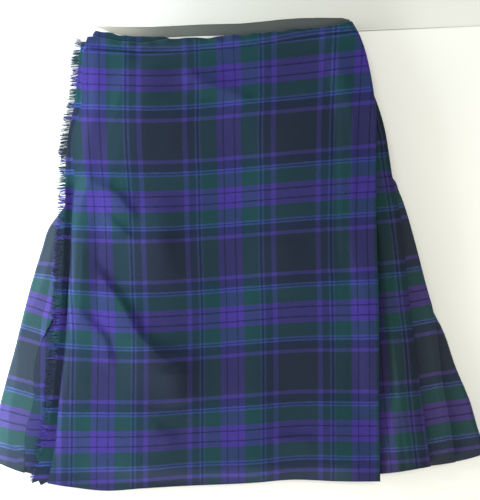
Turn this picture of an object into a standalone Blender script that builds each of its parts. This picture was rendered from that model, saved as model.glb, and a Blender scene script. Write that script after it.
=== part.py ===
"""A knee-length kilt, closed and laid flat with its aprons up.

The waist points to +Y, the hem to -Y, and +Z is up from the surface that it lies on. Sizes and places are in
millimetres, from the middle of the kilt, and MM turns them into metres. Every piece is a cloth wall: a grid of
points with rows from waist to hem and columns across the cloth, given its thickness. A piece that lies on others
is laid on the Pile, which keeps the height of all that is already down.
"""

import bmesh
import bpy
import numpy as np

MM = 0.001
WALL = 1.2
GAP = 0.3
PITCH = WALL + GAP

# The outline and the fold edges, as (y, x) from waist to hem.
APRON_LEFT = ((296, -199), (277, -204), (239, -207), (195, -209), (175, -217), (143, -220), (109, -217),
              (69, -219), (-6, -222), (-52, -225), (-122, -229), (-169, -234), (-203, -238), (-258, -243),
              (-308, -253))
APRON_RIGHT = ((325, 158), (304, 169), (284, 177), (256, 184), (220, 190), (190, 196), (160, 195),
               (130, 193), (48, 193), (-61, 196), (-197, 197), (-307, 199))
SIDE_1_EDGE = ((201, 189), (177, 197), (142, 208), (111, 213), (86, 219), (55, 226), (7, 231), (-50, 237),
               (-101, 243), (-156, 250), (-218, 258), (-285, 267))
SIDE_2_EDGE = ((112, 211), (92, 221), (78, 227), (48, 238), (12, 248), (-39, 261), (-75, 271),
               (-115, 277), (-180, 285), (-222, 293), (-284, 302))
SIDE_3_INNER = ((300, 140), (198, 170), (93, 198), (12, 222), (-75, 250), (-150, 262), (-222, 272),
                (-290, 282))
BACK_RIGHT = ((300, 160), (198, 188), (126, 205), (93, 213), (48, 229), (-39, 255), (-78, 272),
              (-99, 283), (-150, 301), (-201, 322), (-239, 333), (-269, 345))
BACK_LEFT = ((300, -176), (198, -199), (123, -212), (75, -224), (59, -236), (41, -250), (7, -262),
             (-39, -276), (-81, -287), (-126, -298), (-173, -311), (-210, -321), (-247, -335),
             (-274, -345))
LEFT_PLEAT_EDGE = ((300, -146), (143, -185), (7, -218), (-81, -243), (-108, -257), (-145, -269),
                   (-207, -273), (-222, -278), (-300, -285))
UNDER_LEFT = ((300, -156), (143, -196), (7, -229), (-81, -254), (-108, -268), (-145, -280), (-222, -290),
              (-304, -297))
UNDER_RIGHT = ((300, 136), (100, 162), (-304, 170))
STRIP_INNER = ((291, -204.5), (281, -205.5), (272, -199), (200, -200), (143, -211), (-6, -213),
               (-122, -220), (-203, -229), (-308, -244))
STRIP_OUTER = ((291, -209), (266, -213), (232, -216), (198, -220), (164, -227), (123, -229), (75, -229),
               (35, -231), (-47, -234), (-108, -238), (-156, -243), (-197, -247), (-244, -254),
               (-281, -262), (-308, -266))
THREAD_TIPS = ((293, -212), (275, -218), (245, -221), (210, -226), (182, -233), (150, -238), (103, -239),
               (62, -239), (6, -243), (-54, -245), (-108, -249), (-175, -256), (-213, -259), (-252, -267),
               (-308, -278))

# The edges that run across, as (x, y) from left to right.
FRONT_TOP = ((-199, 296), (-158, 296), (-64, 296), (8, 302), (90, 309), (159, 319))
FRONT_SEAM = ((-203, 280), (-137, 277), (-79, 277), (-35, 280), (41, 287), (98, 296), (159, 302))
FRONT_HEM = ((-254, -309), (-224, -314), (-174, -320), (-128, -317), (-58, -313), (29, -309), (75, -305),
             (144, -307), (199, -307))
UNDER_TOP = ((-190, 307), (-169, 303), (-141, 295), (-64, 293), (8, 299), (90, 306), (159, 316))
BACK_TOP = ((-190, 293), (-64, 293), (8, 299), (90, 306), (159, 316))
BACK_HEM = ((-345, -274), (-318, -284), (-284, -296), (-254, -300), (0, -304), (203, -297), (267, -286),
            (314, -278), (345, -269))
BAND_DEPTH = 18.0

BAND_START = -199.0
BAND_RIGHT = 154.0
BAND_LEFT = -182.0
BAND_END = 136.0
BAND_LEAN = (-4, 8)

# The pleats: how many the back shows, and what share of each is hidden in its fold or slopes to the next.
BACK_REVEALS = 20
HIDDEN_SHARE = 0.55
SLOPE_SHARE = 0.3
SIDE_FOLD_REACH = 4.5
HIDDEN_DEPTH = 16.0
LEFT_HIDDEN_DEPTH = 13.0
DEEP_PLEAT_DEPTH = 26.0
FOLD_BULGE = 0.5
SIDE_1_TOP = 201.0
SIDE_2_TOP = 112.0
SIDE_1_TUCK = 20.0
SIDE_2_TUCK = 14.0
FLAP_LIFT = 1.6

# The fringe, from its first thread by the waist to its last by the hem.
THREADS = 160
THREAD_SHARE = 0.5
FRINGE_TOP = 291.0
FRINGE_END = -307.5
TOP_FAN = 9.0

# How far a layer looks for what lies beneath it, as (across, along).
PLEAT_REACH = (9.0, 22.0)
TURN_REACH = (10.0, 20.0)
FACE_REACH = (14.0, 20.0)

# The shares of the way from waist to hem where rows lie.
BACK_ROWS = np.array([0, 0.13, 0.26, 0.34, 0.405, 0.46, 0.55, 0.65, 0.77, 0.89, 1.0])
SIDE_ROWS = np.linspace(0, 1, 15)
APRON_ROWS = np.linspace(0, 1, 17)

CELL = 2.0
PILE_HALF = (360, 340)


def smooth(table, at):
    """A curve through a table's rows that turns gently, and goes on straight past its ends."""
    knots, values = np.array(sorted(table), float).T
    steps, rises = np.diff(knots), np.diff(values)
    slopes = rises / steps
    bend = np.concatenate([slopes[:1], (slopes[:-1] * steps[1:] + slopes[1:] * steps[:-1])
                           / (steps[:-1] + steps[1:]), slopes[-1:]])
    at = np.asarray(at, float)
    i = np.clip(np.searchsorted(knots, at) - 1, 0, len(steps) - 1)
    t = np.clip((at - knots[i]) / steps[i], 0, 1)
    inside = (values[i] + rises[i] * t * t * (3 - 2 * t)
              + steps[i] * t * (1 - t) * (bend[i] * (1 - t) - bend[i + 1] * t))
    past = np.minimum(at - knots[0], 0) * bend[0] + np.maximum(at - knots[-1], 0) * bend[-1]
    return inside + past


def ease(low, high, at):
    t = np.clip((at - low) / (high - low), 0, 1)
    return t * t * (3 - 2 * t)


def row_y(top, hem, x, down):
    """Where a row that is this share of the way down lies at x, between a top edge and a hem."""
    return (1 - down) * top(x) + down * hem(x)


def edge_x(table, top, hem, down):
    """Where each row meets an edge, found by going to the edge and back to the row a few times."""
    x = smooth(table, (1 - down) * top(0.0) + down * hem(0.0))
    for _ in range(6):
        x = smooth(table, row_y(top, hem, x, down))
    return x


def level(count):
    """The height of the middle of a wall with this many walls beneath it."""
    return count * PITCH + WALL / 2


def swell(x, y):
    """The soft fullness of the over apron, which stands a little off what it lies on."""
    long_rise = 3.2 * np.exp(-((x + 60) / 85) ** 2) * ease(250, 60, y)
    hem_wave = 2.2 * (0.5 + 0.5 * np.cos((x + 165) / 26)) * ease(-60, -300, y) * ease(190, 120, x)
    return long_rise + hem_wave * ease(-250, -190, x)


class Pile:
    """The height of everything laid so far, on square cells."""

    def __init__(self):
        self.shape = tuple(int(2 * half / CELL) + 1 for half in PILE_HALF)
        self.height = np.zeros(self.shape)

    def cell(self, x, y):
        return [(at + half) / CELL for at, half in zip((x, y), PILE_HALF)]

    def add(self, x, y, top):
        """Raises the pile to the top face of a layer, given as grids of points."""
        spans = [int(np.ceil(max(np.abs(np.diff(grid, axis=axis)).max() for grid in (x, y)) / CELL * 1.5)) + 1
                 for axis in (0, 1)]
        fine = [np.linspace(0, n - 1, (n - 1) * span + 1) for n, span in zip(x.shape, spans)]
        x, y, top = (between(grid, fine[0][:, None], fine[1][None, :]) for grid in (x, y, top))
        i, j = (np.clip(np.round(at).astype(int), 0, n - 1) for at, n in zip(self.cell(x, y), self.shape))
        np.maximum.at(self.height, (i, j), top)

    def rest(self, x, y, across, along, soften=6.0):
        """The height of the middle of a wall laid here: over the highest point in reach, then softened."""
        found = self.height
        for axis, reach in enumerate((across + soften, along + soften)):
            found = swept(found, axis, int(np.ceil(reach / CELL)), np.maximum.reduce)
        for axis in (0, 1):
            found = swept(found, axis, int(soften / CELL), lambda all_of_them: np.mean(all_of_them, axis=0))
        i, j = (np.clip(at, 0, n - 1) for at, n in zip(self.cell(x, y), self.shape))
        return between(found, i, j) + GAP + WALL / 2


def between(grid, i, j):
    """Values of a grid at places between its points."""
    i0, j0 = (np.minimum(at.astype(int), n - 2) for at, n in zip((i, j), grid.shape))
    s, t = i - i0, j - j0
    return ((1 - s) * (1 - t) * grid[i0, j0] + s * (1 - t) * grid[i0 + 1, j0]
            + (1 - s) * t * grid[i0, j0 + 1] + s * t * grid[i0 + 1, j0 + 1])


def swept(grid, axis, cells, join):
    """Each cell joined with its neighbours up to this many cells away along one axis."""
    wide = np.pad(grid, [(cells, cells) if a == axis else (0, 0) for a in (0, 1)], mode="edge")
    size = grid.shape[axis]
    return join([np.take(wide, np.arange(k, k + size), axis=axis) for k in range(2 * cells + 1)])


def material(name, colour, roughness):
    made = bpy.data.materials.new(name)
    made.use_nodes = True
    shader = made.node_tree.nodes["Principled BSDF"]
    shader.inputs["Base Color"].default_value = (*colour, 1.0)
    shader.inputs["Roughness"].default_value = roughness
    shader.inputs["Metallic"].default_value = 0.0
    return made


def add_object(name, points, faces, finish):
    mesh = bpy.data.meshes.new(name)
    mesh.from_pydata((np.asarray(points) * MM).tolist(), [], faces)
    shape = bmesh.new()
    shape.from_mesh(mesh)
    bmesh.ops.recalc_face_normals(shape, faces=shape.faces)
    shape.to_mesh(mesh)
    shape.free()
    mesh.materials.append(finish)
    mesh.shade_smooth()
    mesh.set_sharp_from_angle(angle=0.7)
    made = bpy.data.objects.new(name, mesh)
    bpy.context.scene.collection.objects.link(made)
    return made


def wall(name, x, y, z, finish):
    """A closed cloth wall round grids of middle points: each point moves half a wall either way, square to
    the path that its row takes through x and z."""
    along = np.stack([np.diff(x, axis=1), np.diff(z, axis=1)], axis=-1)
    normal = np.stack([-along[..., 1], along[..., 0]], axis=-1)
    normal /= np.linalg.norm(normal, axis=-1, keepdims=True)
    before = np.concatenate([normal[:, :1], normal], axis=1)
    after = np.concatenate([normal, normal[:, -1:]], axis=1)
    offset = (before + after) / (1 + (before * after).sum(-1, keepdims=True)) * WALL / 2
    sides = [np.stack([x + sign * offset[..., 0], y, z + sign * offset[..., 1]], axis=-1) for sign in (1, -1)]
    rows, columns = x.shape
    points = np.concatenate([side.reshape(-1, 3) for side in sides])
    number = np.arange(2 * rows * columns).reshape(2, rows, columns)
    faces = []
    for side, way in zip(number, (1, -1)):
        quads = np.stack([side[:-1, :-1], side[1:, :-1], side[1:, 1:], side[:-1, 1:]], axis=-1).reshape(-1, 4)
        faces += quads[:, ::way].tolist()
    for rim, way in ((number[:, 0], 1), (number[:, -1], -1), (number[:, :, 0], -1), (number[:, :, -1], 1)):
        quads = np.stack([rim[0, :-1], rim[0, 1:], rim[1, 1:], rim[1, :-1]], axis=-1)
        faces += quads[:, ::way].tolist()
    return add_object(name, points, faces, finish)


def across(start, end, count):
    """Evenly spaced columns between two edges, a value for each row."""
    return start[:, None] + (end - start)[:, None] * np.linspace(0, 1, count)


def front_top_row(x):
    return smooth(FRONT_SEAM, x) - GAP


def back_top_row(x):
    return smooth(BACK_TOP, x) - BAND_DEPTH - GAP


def under_top_row(x):
    return smooth(UNDER_TOP, x) - BAND_DEPTH - GAP


def front_hem(x):
    return smooth(FRONT_HEM, x)


def back_hem(x):
    return smooth(BACK_HEM, x)


def under_hem(x):
    return smooth(BACK_HEM, x) + 1.0


class BackFolds:
    """Where the back's fold edges lie in each row: equal reveals between its two side edges, which the knife
    pleats share. Fold 0 joins it to the third side pleat and the last one to the left pleat."""

    def __init__(self, rows):
        self.rows = rows
        self.right = edge_x(BACK_RIGHT, back_top_row, back_hem, rows)
        self.left = edge_x(BACK_LEFT, back_top_row, back_hem, rows)
        self.reveal = (self.right - self.left) / BACK_REVEALS
        self.hidden = self.reveal * HIDDEN_SHARE
        self.slope = self.reveal * SLOPE_SHARE

    def edge(self, k):
        return self.right - (k + 1) * self.reveal

    def into_fold(self, k):
        """The path from the face into fold k and as far as its hidden end."""
        return [(self.edge(k) + WALL / 2, 0), (self.edge(k) + WALL / 2, 1), (self.edge(k) + self.hidden, 1)]

    def out_of_fold(self, k):
        """The path from fold k's hidden end, out past its edge and down to the next face."""
        return [(self.edge(k) + self.hidden, 2), (self.edge(k), 2), (self.edge(k) - self.slope, 0)]


def path_grids(path, rows):
    """Grids from a path of (x for each row, count of walls beneath)."""
    x = np.stack([at for at, _ in path], axis=1)
    z = np.stack([np.full(len(rows), level(count)) for _, count in path], axis=1)
    return x, row_y(back_top_row, back_hem, x, rows[:, None]), z


def side_fold(edge, low, high, way):
    """Half a turn round a side, as (x, z) columns from the lower wall to the upper one: way is 1 at the right."""
    angles = np.linspace(-np.pi / 2, np.pi / 2, 7)
    middle, half = (low + high)[:, None] / 2, (high - low)[:, None] / 2
    centre = edge - way * SIDE_FOLD_REACH
    return centre[:, None] + way * SIDE_FOLD_REACH * np.cos(angles), middle + half * np.sin(angles)


def make_pleated_back(pile, finish):
    folds = BackFolds(BACK_ROWS)
    path = folds.out_of_fold(0)
    for k in range(1, BACK_REVEALS - 1):
        path += folds.into_fold(k)
        if k < BACK_REVEALS - 2:
            path += folds.out_of_fold(k)
    x, y, z = path_grids(path, BACK_ROWS)
    wall("pleated_back", x, y, z, finish)
    flat = across(folds.left + 12, folds.right - 12, 30)
    y = row_y(back_top_row, back_hem, flat, BACK_ROWS[:, None])
    pile.add(flat, y, np.full(flat.shape, level(2) + WALL / 2))


def make_side_pleat_3(pile, finish):
    """From beneath side pleat 2, round the right side and along the surface to the back's first fold."""
    rows = BACK_ROWS
    folds = BackFolds(rows)
    inner = edge_x(SIDE_3_INNER, back_top_row, back_hem, rows)
    flap = level(3) + FLAP_LIFT * ease(0.3, 0.7, rows)
    turn_x, turn_z = side_fold(folds.right, np.full(len(rows), level(0)), flap, 1)
    top_x = across(inner, turn_x[:, -1], 5)[:, :-1]
    top_z = np.stack([np.full(len(rows), level(3))] * 2 + [level(3) * 0.6 + flap * 0.4, flap], axis=1)
    back_x, _, back_z = path_grids(folds.into_fold(0), rows)
    x = np.concatenate([top_x, turn_x[:, ::-1], back_x], axis=1)
    z = np.concatenate([top_z, turn_z[:, ::-1], back_z], axis=1)
    y = row_y(back_top_row, back_hem, x, rows[:, None])
    wall("side_pleat_3", x, y, z, finish)
    front = slice(0, top_x.shape[1] + 4)
    pile.add(x[:, front], y[:, front], z[:, front] + WALL / 2)


def folded_leaf(name, pile, rows, top, hem, edge, inner, depth, finish):
    """A pleat that shows its face: a hidden layer laid on the pile, a fold at its edge, and a face on both."""
    under_x = across(edge - depth, edge - WALL / 2, 4)
    under_y = row_y(top, hem, under_x, rows[:, None])
    under_z = pile.rest(under_x, under_y, *PLEAT_REACH)
    pile.add(under_x, under_y, under_z + WALL / 2)
    share = np.linspace(0, 1, 9) ** 1.25
    face_x = (edge - WALL / 2)[:, None] + (inner - edge)[:, None] * share
    face_y = row_y(top, hem, face_x, rows[:, None])
    face_z = pile.rest(face_x, face_y, *PLEAT_REACH)
    pile.add(face_x, face_y, face_z + WALL / 2)
    turn_x = (edge - WALL / 2 + FOLD_BULGE)[:, None]
    turn_z = (under_z[:, -1:] + face_z[:, :1]) / 2
    x = np.concatenate([under_x, turn_x, face_x], axis=1)
    z = np.concatenate([under_z, turn_z, face_z], axis=1)
    y = row_y(top, hem, x, rows[:, None])
    wall(name, x, y, z, finish)


def make_side_pleat(number, pile, edge_table, top_y, inner_of, finish):
    """One of the two pleats that lie beside the apron, from its tucked-in top to the hem."""
    rows = SIDE_ROWS

    def top(x):
        return top_y + 0.0 * x

    edge = edge_x(edge_table, top, back_hem, rows)
    inner = inner_of(row_y(top, back_hem, edge, rows))
    depth = np.minimum(HIDDEN_DEPTH, (edge - inner) * 0.7)
    folded_leaf(f"side_pleat_{number}", pile, rows, top, back_hem, edge, inner, depth, finish)


def make_under_apron(pile, finish):
    rows = APRON_ROWS
    left = edge_x(UNDER_LEFT, under_top_row, under_hem, rows)
    right = edge_x(UNDER_RIGHT, under_top_row, under_hem, rows)
    x = across(left, right, 12)
    y = row_y(under_top_row, under_hem, x, rows[:, None])
    z = np.full(x.shape, level(3))
    wall("under_apron", x, y, z, finish)
    pile.add(x, y, z + WALL / 2)


def make_left_pleat(pile, finish):
    """From the back's last fold along the surface, round the left side, and over the under apron to its fold."""
    rows = BACK_ROWS
    folds = BackFolds(rows)
    edge = edge_x(LEFT_PLEAT_EDGE, back_top_row, back_hem, rows)
    hidden_x = across(edge - LEFT_HIDDEN_DEPTH, edge - WALL / 2, 4)
    hidden_y = row_y(back_top_row, back_hem, hidden_x, rows[:, None])
    hidden_z = pile.rest(hidden_x, hidden_y, *PLEAT_REACH)
    pile.add(hidden_x, hidden_y, hidden_z + WALL / 2)
    face_x = across(folds.left + SIDE_FOLD_REACH, edge - WALL / 2, 6)[:, 1:]
    face_y = row_y(back_top_row, back_hem, face_x, rows[:, None])
    face_z = pile.rest(face_x, face_y, *PLEAT_REACH)
    turn_x, turn_z = side_fold(folds.left, np.full(len(rows), level(0)), face_z[:, 0], -1)
    shown_x = np.concatenate([turn_x[:, 3:], face_x], axis=1)
    shown_z = np.concatenate([turn_z[:, 3:], face_z], axis=1)
    pile.add(shown_x, row_y(back_top_row, back_hem, shown_x, rows[:, None]), shown_z + WALL / 2)
    back_x, _, back_z = path_grids(folds.out_of_fold(BACK_REVEALS - 2), rows)
    bulge_x = (edge - WALL / 2 + FOLD_BULGE)[:, None]
    bulge_z = (face_z[:, -1:] + hidden_z[:, -1:]) / 2
    x = np.concatenate([back_x, turn_x, face_x, bulge_x, hidden_x[:, ::-1]], axis=1)
    z = np.concatenate([back_z, turn_z, face_z, bulge_z, hidden_z[:, ::-1]], axis=1)
    wall("left_pleat", x, row_y(back_top_row, back_hem, x, rows[:, None]), z, finish)


def make_over_apron(pile, finish):
    rows = APRON_ROWS
    left = edge_x(APRON_LEFT, front_top_row, front_hem, rows)
    edge = edge_x(APRON_RIGHT, front_top_row, front_hem, rows)
    under_x = across(edge - DEEP_PLEAT_DEPTH, edge - WALL / 2, 4)
    under_y = row_y(front_top_row, front_hem, under_x, rows[:, None])
    under_z = pile.rest(under_x, under_y, *TURN_REACH)
    pile.add(under_x, under_y, under_z + WALL / 2)
    share = 1 - np.concatenate([np.linspace(0, 0.08, 4), np.linspace(0.08, 1, 16)[1:]])
    face_x = left[:, None] + (edge - WALL / 2 - left)[:, None] * share
    face_y = row_y(front_top_row, front_hem, face_x, rows[:, None])
    face_z = pile.rest(face_x, face_y, *FACE_REACH) + swell(face_x, face_y)
    pile.add(face_x, face_y, face_z + WALL / 2)
    turn_x = (edge - WALL / 2 + FOLD_BULGE)[:, None]
    turn_z = (under_z[:, -1:] + face_z[:, :1]) / 2
    x = np.concatenate([under_x, turn_x, face_x], axis=1)
    z = np.concatenate([under_z, turn_z, face_z], axis=1)
    wall("over_apron", x, row_y(front_top_row, front_hem, x, rows[:, None]), z, finish)


def make_fringe(pile, finish):
    """A woven strip with a comb of loose threads along its outer edge, in one closed piece."""
    draw = np.random.default_rng(11)
    down = np.linspace(0, 1, THREADS + 1)
    y = FRINGE_TOP + (FRINGE_END - FRINGE_TOP) * down
    half = (y[0] - y[1]) * THREAD_SHARE / 2
    inner = np.stack([smooth(STRIP_INNER, y), y], axis=1)
    roots = [np.stack([smooth(STRIP_OUTER, y + shift), y + shift], axis=1) for shift in (half, -half)]
    fan = 1.2 * np.sin(y / 23) + draw.uniform(-0.35, 0.35, len(y))
    fan += TOP_FAN * ease(FRINGE_TOP - 12, FRINGE_TOP, y)
    tip_x = smooth(THREAD_TIPS, y) + draw.uniform(-1.2, 1.2, len(y))
    tips = [np.stack([tip_x, y + fan + shift * 0.7], axis=1) for shift in (half, -half)]
    rest_inner = pile.rest(inner[:, 0], inner[:, 1], 8.0, 10.0)
    rest_roots = pile.rest(roots[0][:, 0], y, 6.0, 8.0)
    lying = ease(90, 40, y)
    rest_tips = pile.rest(tip_x, y, 4.0, 8.0) * lying + np.maximum(rest_roots - 2.5, WALL) * (1 - lying)
    rest_tips = np.maximum(rest_tips, WALL)
    rings = [(inner, rest_inner), (roots[0], rest_roots), (roots[1], rest_roots), (tips[0], rest_tips),
             (tips[1], rest_tips)]
    points = []
    for sign in (1, -1):
        for place, height in rings:
            thin = 0.7 if place is tips[0] or place is tips[1] else 1.0
            points.append(np.column_stack([place, height + sign * thin * WALL / 2]))
    count = len(y)
    up = [np.arange(count) + k * count for k in range(5)]
    low = [ring + 5 * count for ring in up]
    faces = []
    for (c, a, b, ta, tb), way in ((up, 1), (low, -1)):
        for i in range(count):
            faces.append([a[i], b[i], c[i]][::way])
            faces.append([ta[i], tb[i], b[i], a[i]][::way])
            if i + 1 < count:
                faces.append([b[i], a[i + 1], c[i + 1], c[i]][::way])
    c, a, b, ta, tb = up
    lc, la, lb, lta, ltb = low
    for i in range(count):
        faces.append([a[i], la[i], lta[i], ta[i]])
        faces.append([ta[i], lta[i], ltb[i], tb[i]])
        faces.append([tb[i], ltb[i], lb[i], b[i]])
        if i + 1 < count:
            faces.append([b[i], lb[i], la[i + 1], a[i + 1]])
            faces.append([c[i + 1], lc[i + 1], lc[i], c[i]])
    faces.append([c[0], lc[0], la[0], a[0]])
    faces.append([b[-1], lb[-1], lc[-1], c[-1]])
    add_object("apron_fringe", np.concatenate(points), faces, finish)
    pile.add(np.stack([inner[:, 0], roots[0][:, 0]], axis=1), np.stack([y, y], axis=1),
             np.stack([rest_inner, rest_roots], axis=1) + WALL / 2)


def leaned(x):
    """Where a point of the band's top edge comes down to at its seam: its ends follow the slope of the hips."""
    return x + np.interp(x, (FRONT_TOP[0][0], FRONT_TOP[-1][0]), BAND_LEAN)


def make_waistband(finish):
    """A bound strip folded over the top edge, in one length: along the over apron, round the right side, along
    the back, round the left side and along the under apron. Each station has an outer and an inner leg, as
    (outer x, inner x, outer level, inner level, outward x, outward z, top, seam)."""
    half_turn = np.linspace(np.pi / 2, -np.pi / 2, 7)[1:-1]
    stations = []
    for x in np.linspace(BAND_START, BAND_RIGHT, 16):
        stations.append((x, x, 6, 5, 0, 1, smooth(FRONT_TOP, x), smooth(FRONT_SEAM, leaned(x))))
    for angle in half_turn:
        share = (1 - np.sin(angle)) / 2
        lower = np.clip(2 * share - 1, 0, 1)
        out, up = np.cos(angle), np.sin(angle)
        x = BAND_RIGHT + 7.0 * out
        top = (1 - share) * smooth(FRONT_TOP, x) + share * smooth(BACK_TOP, x)
        seam = ((1 - lower) * smooth(FRONT_SEAM, leaned(x))
                + lower * (smooth(BACK_TOP, leaned(x)) - BAND_DEPTH))
        stations.append((x, BAND_RIGHT + 3.0 * out, 3 + 3 * up, 3.5 + 1.5 * up, out, up, top, seam))
    for x in np.linspace(BAND_RIGHT, BAND_LEFT, 14):
        stations.append((x, x, 0, 2, 0, -1, smooth(BACK_TOP, x), smooth(BACK_TOP, leaned(x)) - BAND_DEPTH))
    for angle in half_turn[::-1]:
        share = (1 + np.sin(angle)) / 2
        out, up = -np.cos(angle), np.sin(angle)
        x = BAND_LEFT + 5.0 * out
        top = (1 - share) * smooth(BACK_TOP, x) + share * smooth(UNDER_TOP, x)
        seam = (1 - share) * smooth(BACK_TOP, leaned(x)) + share * smooth(UNDER_TOP, leaned(x)) - BAND_DEPTH
        stations.append((x, BAND_LEFT + 0.75 * out, 2 + 2 * up, 2.5 + 0.5 * up, out, up, top, seam))
    for x in np.linspace(BAND_LEFT, BAND_END, 14):
        stations.append((x, x, 4, 3, 0, 1, smooth(UNDER_TOP, x), smooth(UNDER_TOP, leaned(x)) - BAND_DEPTH))
    points = []
    for outer_x, inner_x, outer_level, inner_level, nx, nz, top, seam in stations:
        outer, inner = np.array([outer_x, level(outer_level)]), np.array([inner_x, level(inner_level)])
        out = np.array([nx, nz]) * WALL / 2
        lean = leaned(outer_x) - outer_x
        section = ((outer + out, seam), (outer + out, top), (inner - out, top), (inner - out, seam),
                   (inner + out, seam), (inner + out, top - WALL), (outer - out, top - WALL),
                   (outer - out, seam))
        points += [(x + lean * (top - y) / (top - seam), y, z) for (x, z), y in section]
    faces = []
    ring = 8
    for i in range(len(stations) - 1):
        for k in range(ring):
            a, b = i * ring + k, i * ring + (k + 1) % ring
            faces.append([a, b, b + ring, a + ring])
    last = (len(stations) - 1) * ring
    for quad in ((0, 7, 6, 1), (1, 6, 5, 2), (2, 5, 4, 3)):
        faces.append(list(quad))
        faces.append([last + k for k in quad[::-1]])
    add_object("waistband", points, faces, finish)


def lay_band_on(pile):
    """The pile's height where the waistband's back and under stretches lie."""
    x = np.linspace(-190, 150, 40)[None, :] + np.zeros((4, 1))
    y = smooth(BACK_TOP, x) - np.linspace(0, BAND_DEPTH, 4)[:, None]
    pile.add(x, y, np.full(x.shape, level(4) + WALL / 2))


def main():
    for old in list(bpy.data.objects):
        bpy.data.objects.remove(old)
    tartan = material("tartan_cloth", (0.035, 0.035, 0.11), 0.85)
    fringe = material("fringe_thread", (0.03, 0.04, 0.10), 0.9)
    pile = Pile()
    make_pleated_back(pile, tartan)
    make_side_pleat_3(pile, tartan)
    make_under_apron(pile, tartan)
    make_waistband(tartan)
    lay_band_on(pile)
    make_left_pleat(pile, tartan)
    make_side_pleat(2, pile, SIDE_2_EDGE, SIDE_2_TOP, lambda y: smooth(SIDE_1_EDGE, y) - SIDE_2_TUCK, tartan)
    make_side_pleat(1, pile, SIDE_1_EDGE, SIDE_1_TOP, lambda y: smooth(APRON_RIGHT, y) - SIDE_1_TUCK, tartan)
    make_fringe(pile, fringe)
    make_over_apron(pile, tartan)


main()
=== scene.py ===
"""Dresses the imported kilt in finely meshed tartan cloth: pressed pleats, a creased over apron, a bound waist
and a fringe of loose threads.

The waist points to +Y, the hem to -Y, and +Z is up from the surface that the kilt lies on. Sizes and places
in the tables and functions are in millimetres, and MM turns them into metres where a mesh is made. Every
cloth piece is a grid of points on the middle of its wall, with rows from waist to hem and columns across the
cloth, and a UV map that counts repeats of the tartan across and down.
"""

import math

import bmesh
import bpy
import numpy as np
from bpy.props import FloatProperty, FloatVectorProperty, IntProperty, PointerProperty
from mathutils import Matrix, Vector


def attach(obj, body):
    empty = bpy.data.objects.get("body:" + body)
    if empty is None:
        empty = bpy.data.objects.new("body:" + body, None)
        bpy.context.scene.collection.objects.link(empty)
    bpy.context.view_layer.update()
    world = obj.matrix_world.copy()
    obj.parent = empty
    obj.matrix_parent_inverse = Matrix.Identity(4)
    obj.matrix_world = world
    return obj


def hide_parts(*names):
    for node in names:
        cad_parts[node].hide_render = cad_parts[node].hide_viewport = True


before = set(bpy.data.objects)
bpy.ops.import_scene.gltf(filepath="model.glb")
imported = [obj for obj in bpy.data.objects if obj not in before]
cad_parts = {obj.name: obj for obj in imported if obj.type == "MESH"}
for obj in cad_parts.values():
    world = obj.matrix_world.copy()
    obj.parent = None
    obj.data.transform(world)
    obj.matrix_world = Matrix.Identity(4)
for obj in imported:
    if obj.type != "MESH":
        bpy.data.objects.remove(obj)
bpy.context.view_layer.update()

bl_info = {
    "name": "Laid-out kilt",
    "version": (1, 0, 0),
    "blender": (4, 5, 0),
    "location": "View3D > Sidebar > Kilt",
    "description": "Lays a tartan kilt flat: back pleats, aprons, side pleats, waistband and fringe",
    "category": "Object",
}

MM = 0.001
LAYER = 1.2
GAP = 0.3
PITCH = LAYER + GAP

# The outline and the fold edges, as (y, x) from waist to hem.
APRON_LEFT = (
    (296, -199), (277, -204), (239, -207), (195, -209), (175, -217), (143, -220), (109, -217), (69, -219),
    (-6, -222), (-52, -225), (-122, -229), (-169, -234), (-203, -238), (-258, -243), (-308, -253))
APRON_RIGHT = (
    (325, 158), (304, 169), (284, 177), (256, 184), (220, 190), (190, 193), (160, 193), (130, 193),
    (48, 193), (-61, 196), (-197, 197), (-307, 199))
SIDE_1_EDGE = (
    (224, 188.5), (201, 197), (177, 204), (156, 208), (135, 211), (111, 214.5), (86, 219), (55, 226),
    (7, 231), (-50, 237), (-101, 243), (-156, 250), (-218, 258), (-285, 267))
SIDE_2_EDGE = (
    (112, 212.5), (105, 216.5), (98, 221), (90, 223.5), (75, 229.5), (48, 238), (12, 248), (-39, 261),
    (-75, 271), (-115, 277), (-180, 285), (-222, 293), (-284, 302))
SIDE_3_INNER = (
    (300, 140), (198, 170), (93, 198), (12, 222), (-75, 250), (-150, 262), (-222, 272), (-290, 282))
BACK_RIGHT = (
    (300, 160), (198, 188), (126, 205), (93, 213), (48, 229), (-39, 255), (-78, 272), (-99, 283),
    (-150, 301), (-201, 322), (-239, 333), (-269, 345))
BACK_LEFT = (
    (300, -176), (198, -199), (123, -212), (75, -224), (59, -236), (41, -250), (7, -262), (-39, -276),
    (-81, -287), (-126, -298), (-173, -311), (-210, -321), (-247, -335), (-274, -345))
LEFT_PLEAT_EDGE = (
    (300, -146), (143, -185), (7, -218), (-81, -243), (-108, -257), (-145, -269), (-207, -273), (-222, -278),
    (-300, -285))
UNDER_LEFT = (
    (300, -156), (143, -196), (7, -229), (-81, -254), (-108, -268), (-145, -280), (-222, -290), (-304, -297))
UNDER_RIGHT = ((300, 136), (100, 162), (-304, 170))
STRIP_INNER = (
    (291, -201), (281, -201), (272, -199), (200, -200), (143, -211), (-6, -213), (-122, -220), (-203, -229),
    (-308, -244))
STRIP_OUTER = (
    (291, -208), (266, -211), (232, -214.5), (198, -218.8), (164, -226), (123, -229), (75, -229), (35, -231),
    (-47, -234), (-108, -238), (-156, -243), (-197, -247), (-244, -254), (-281, -265), (-308, -275))
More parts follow.
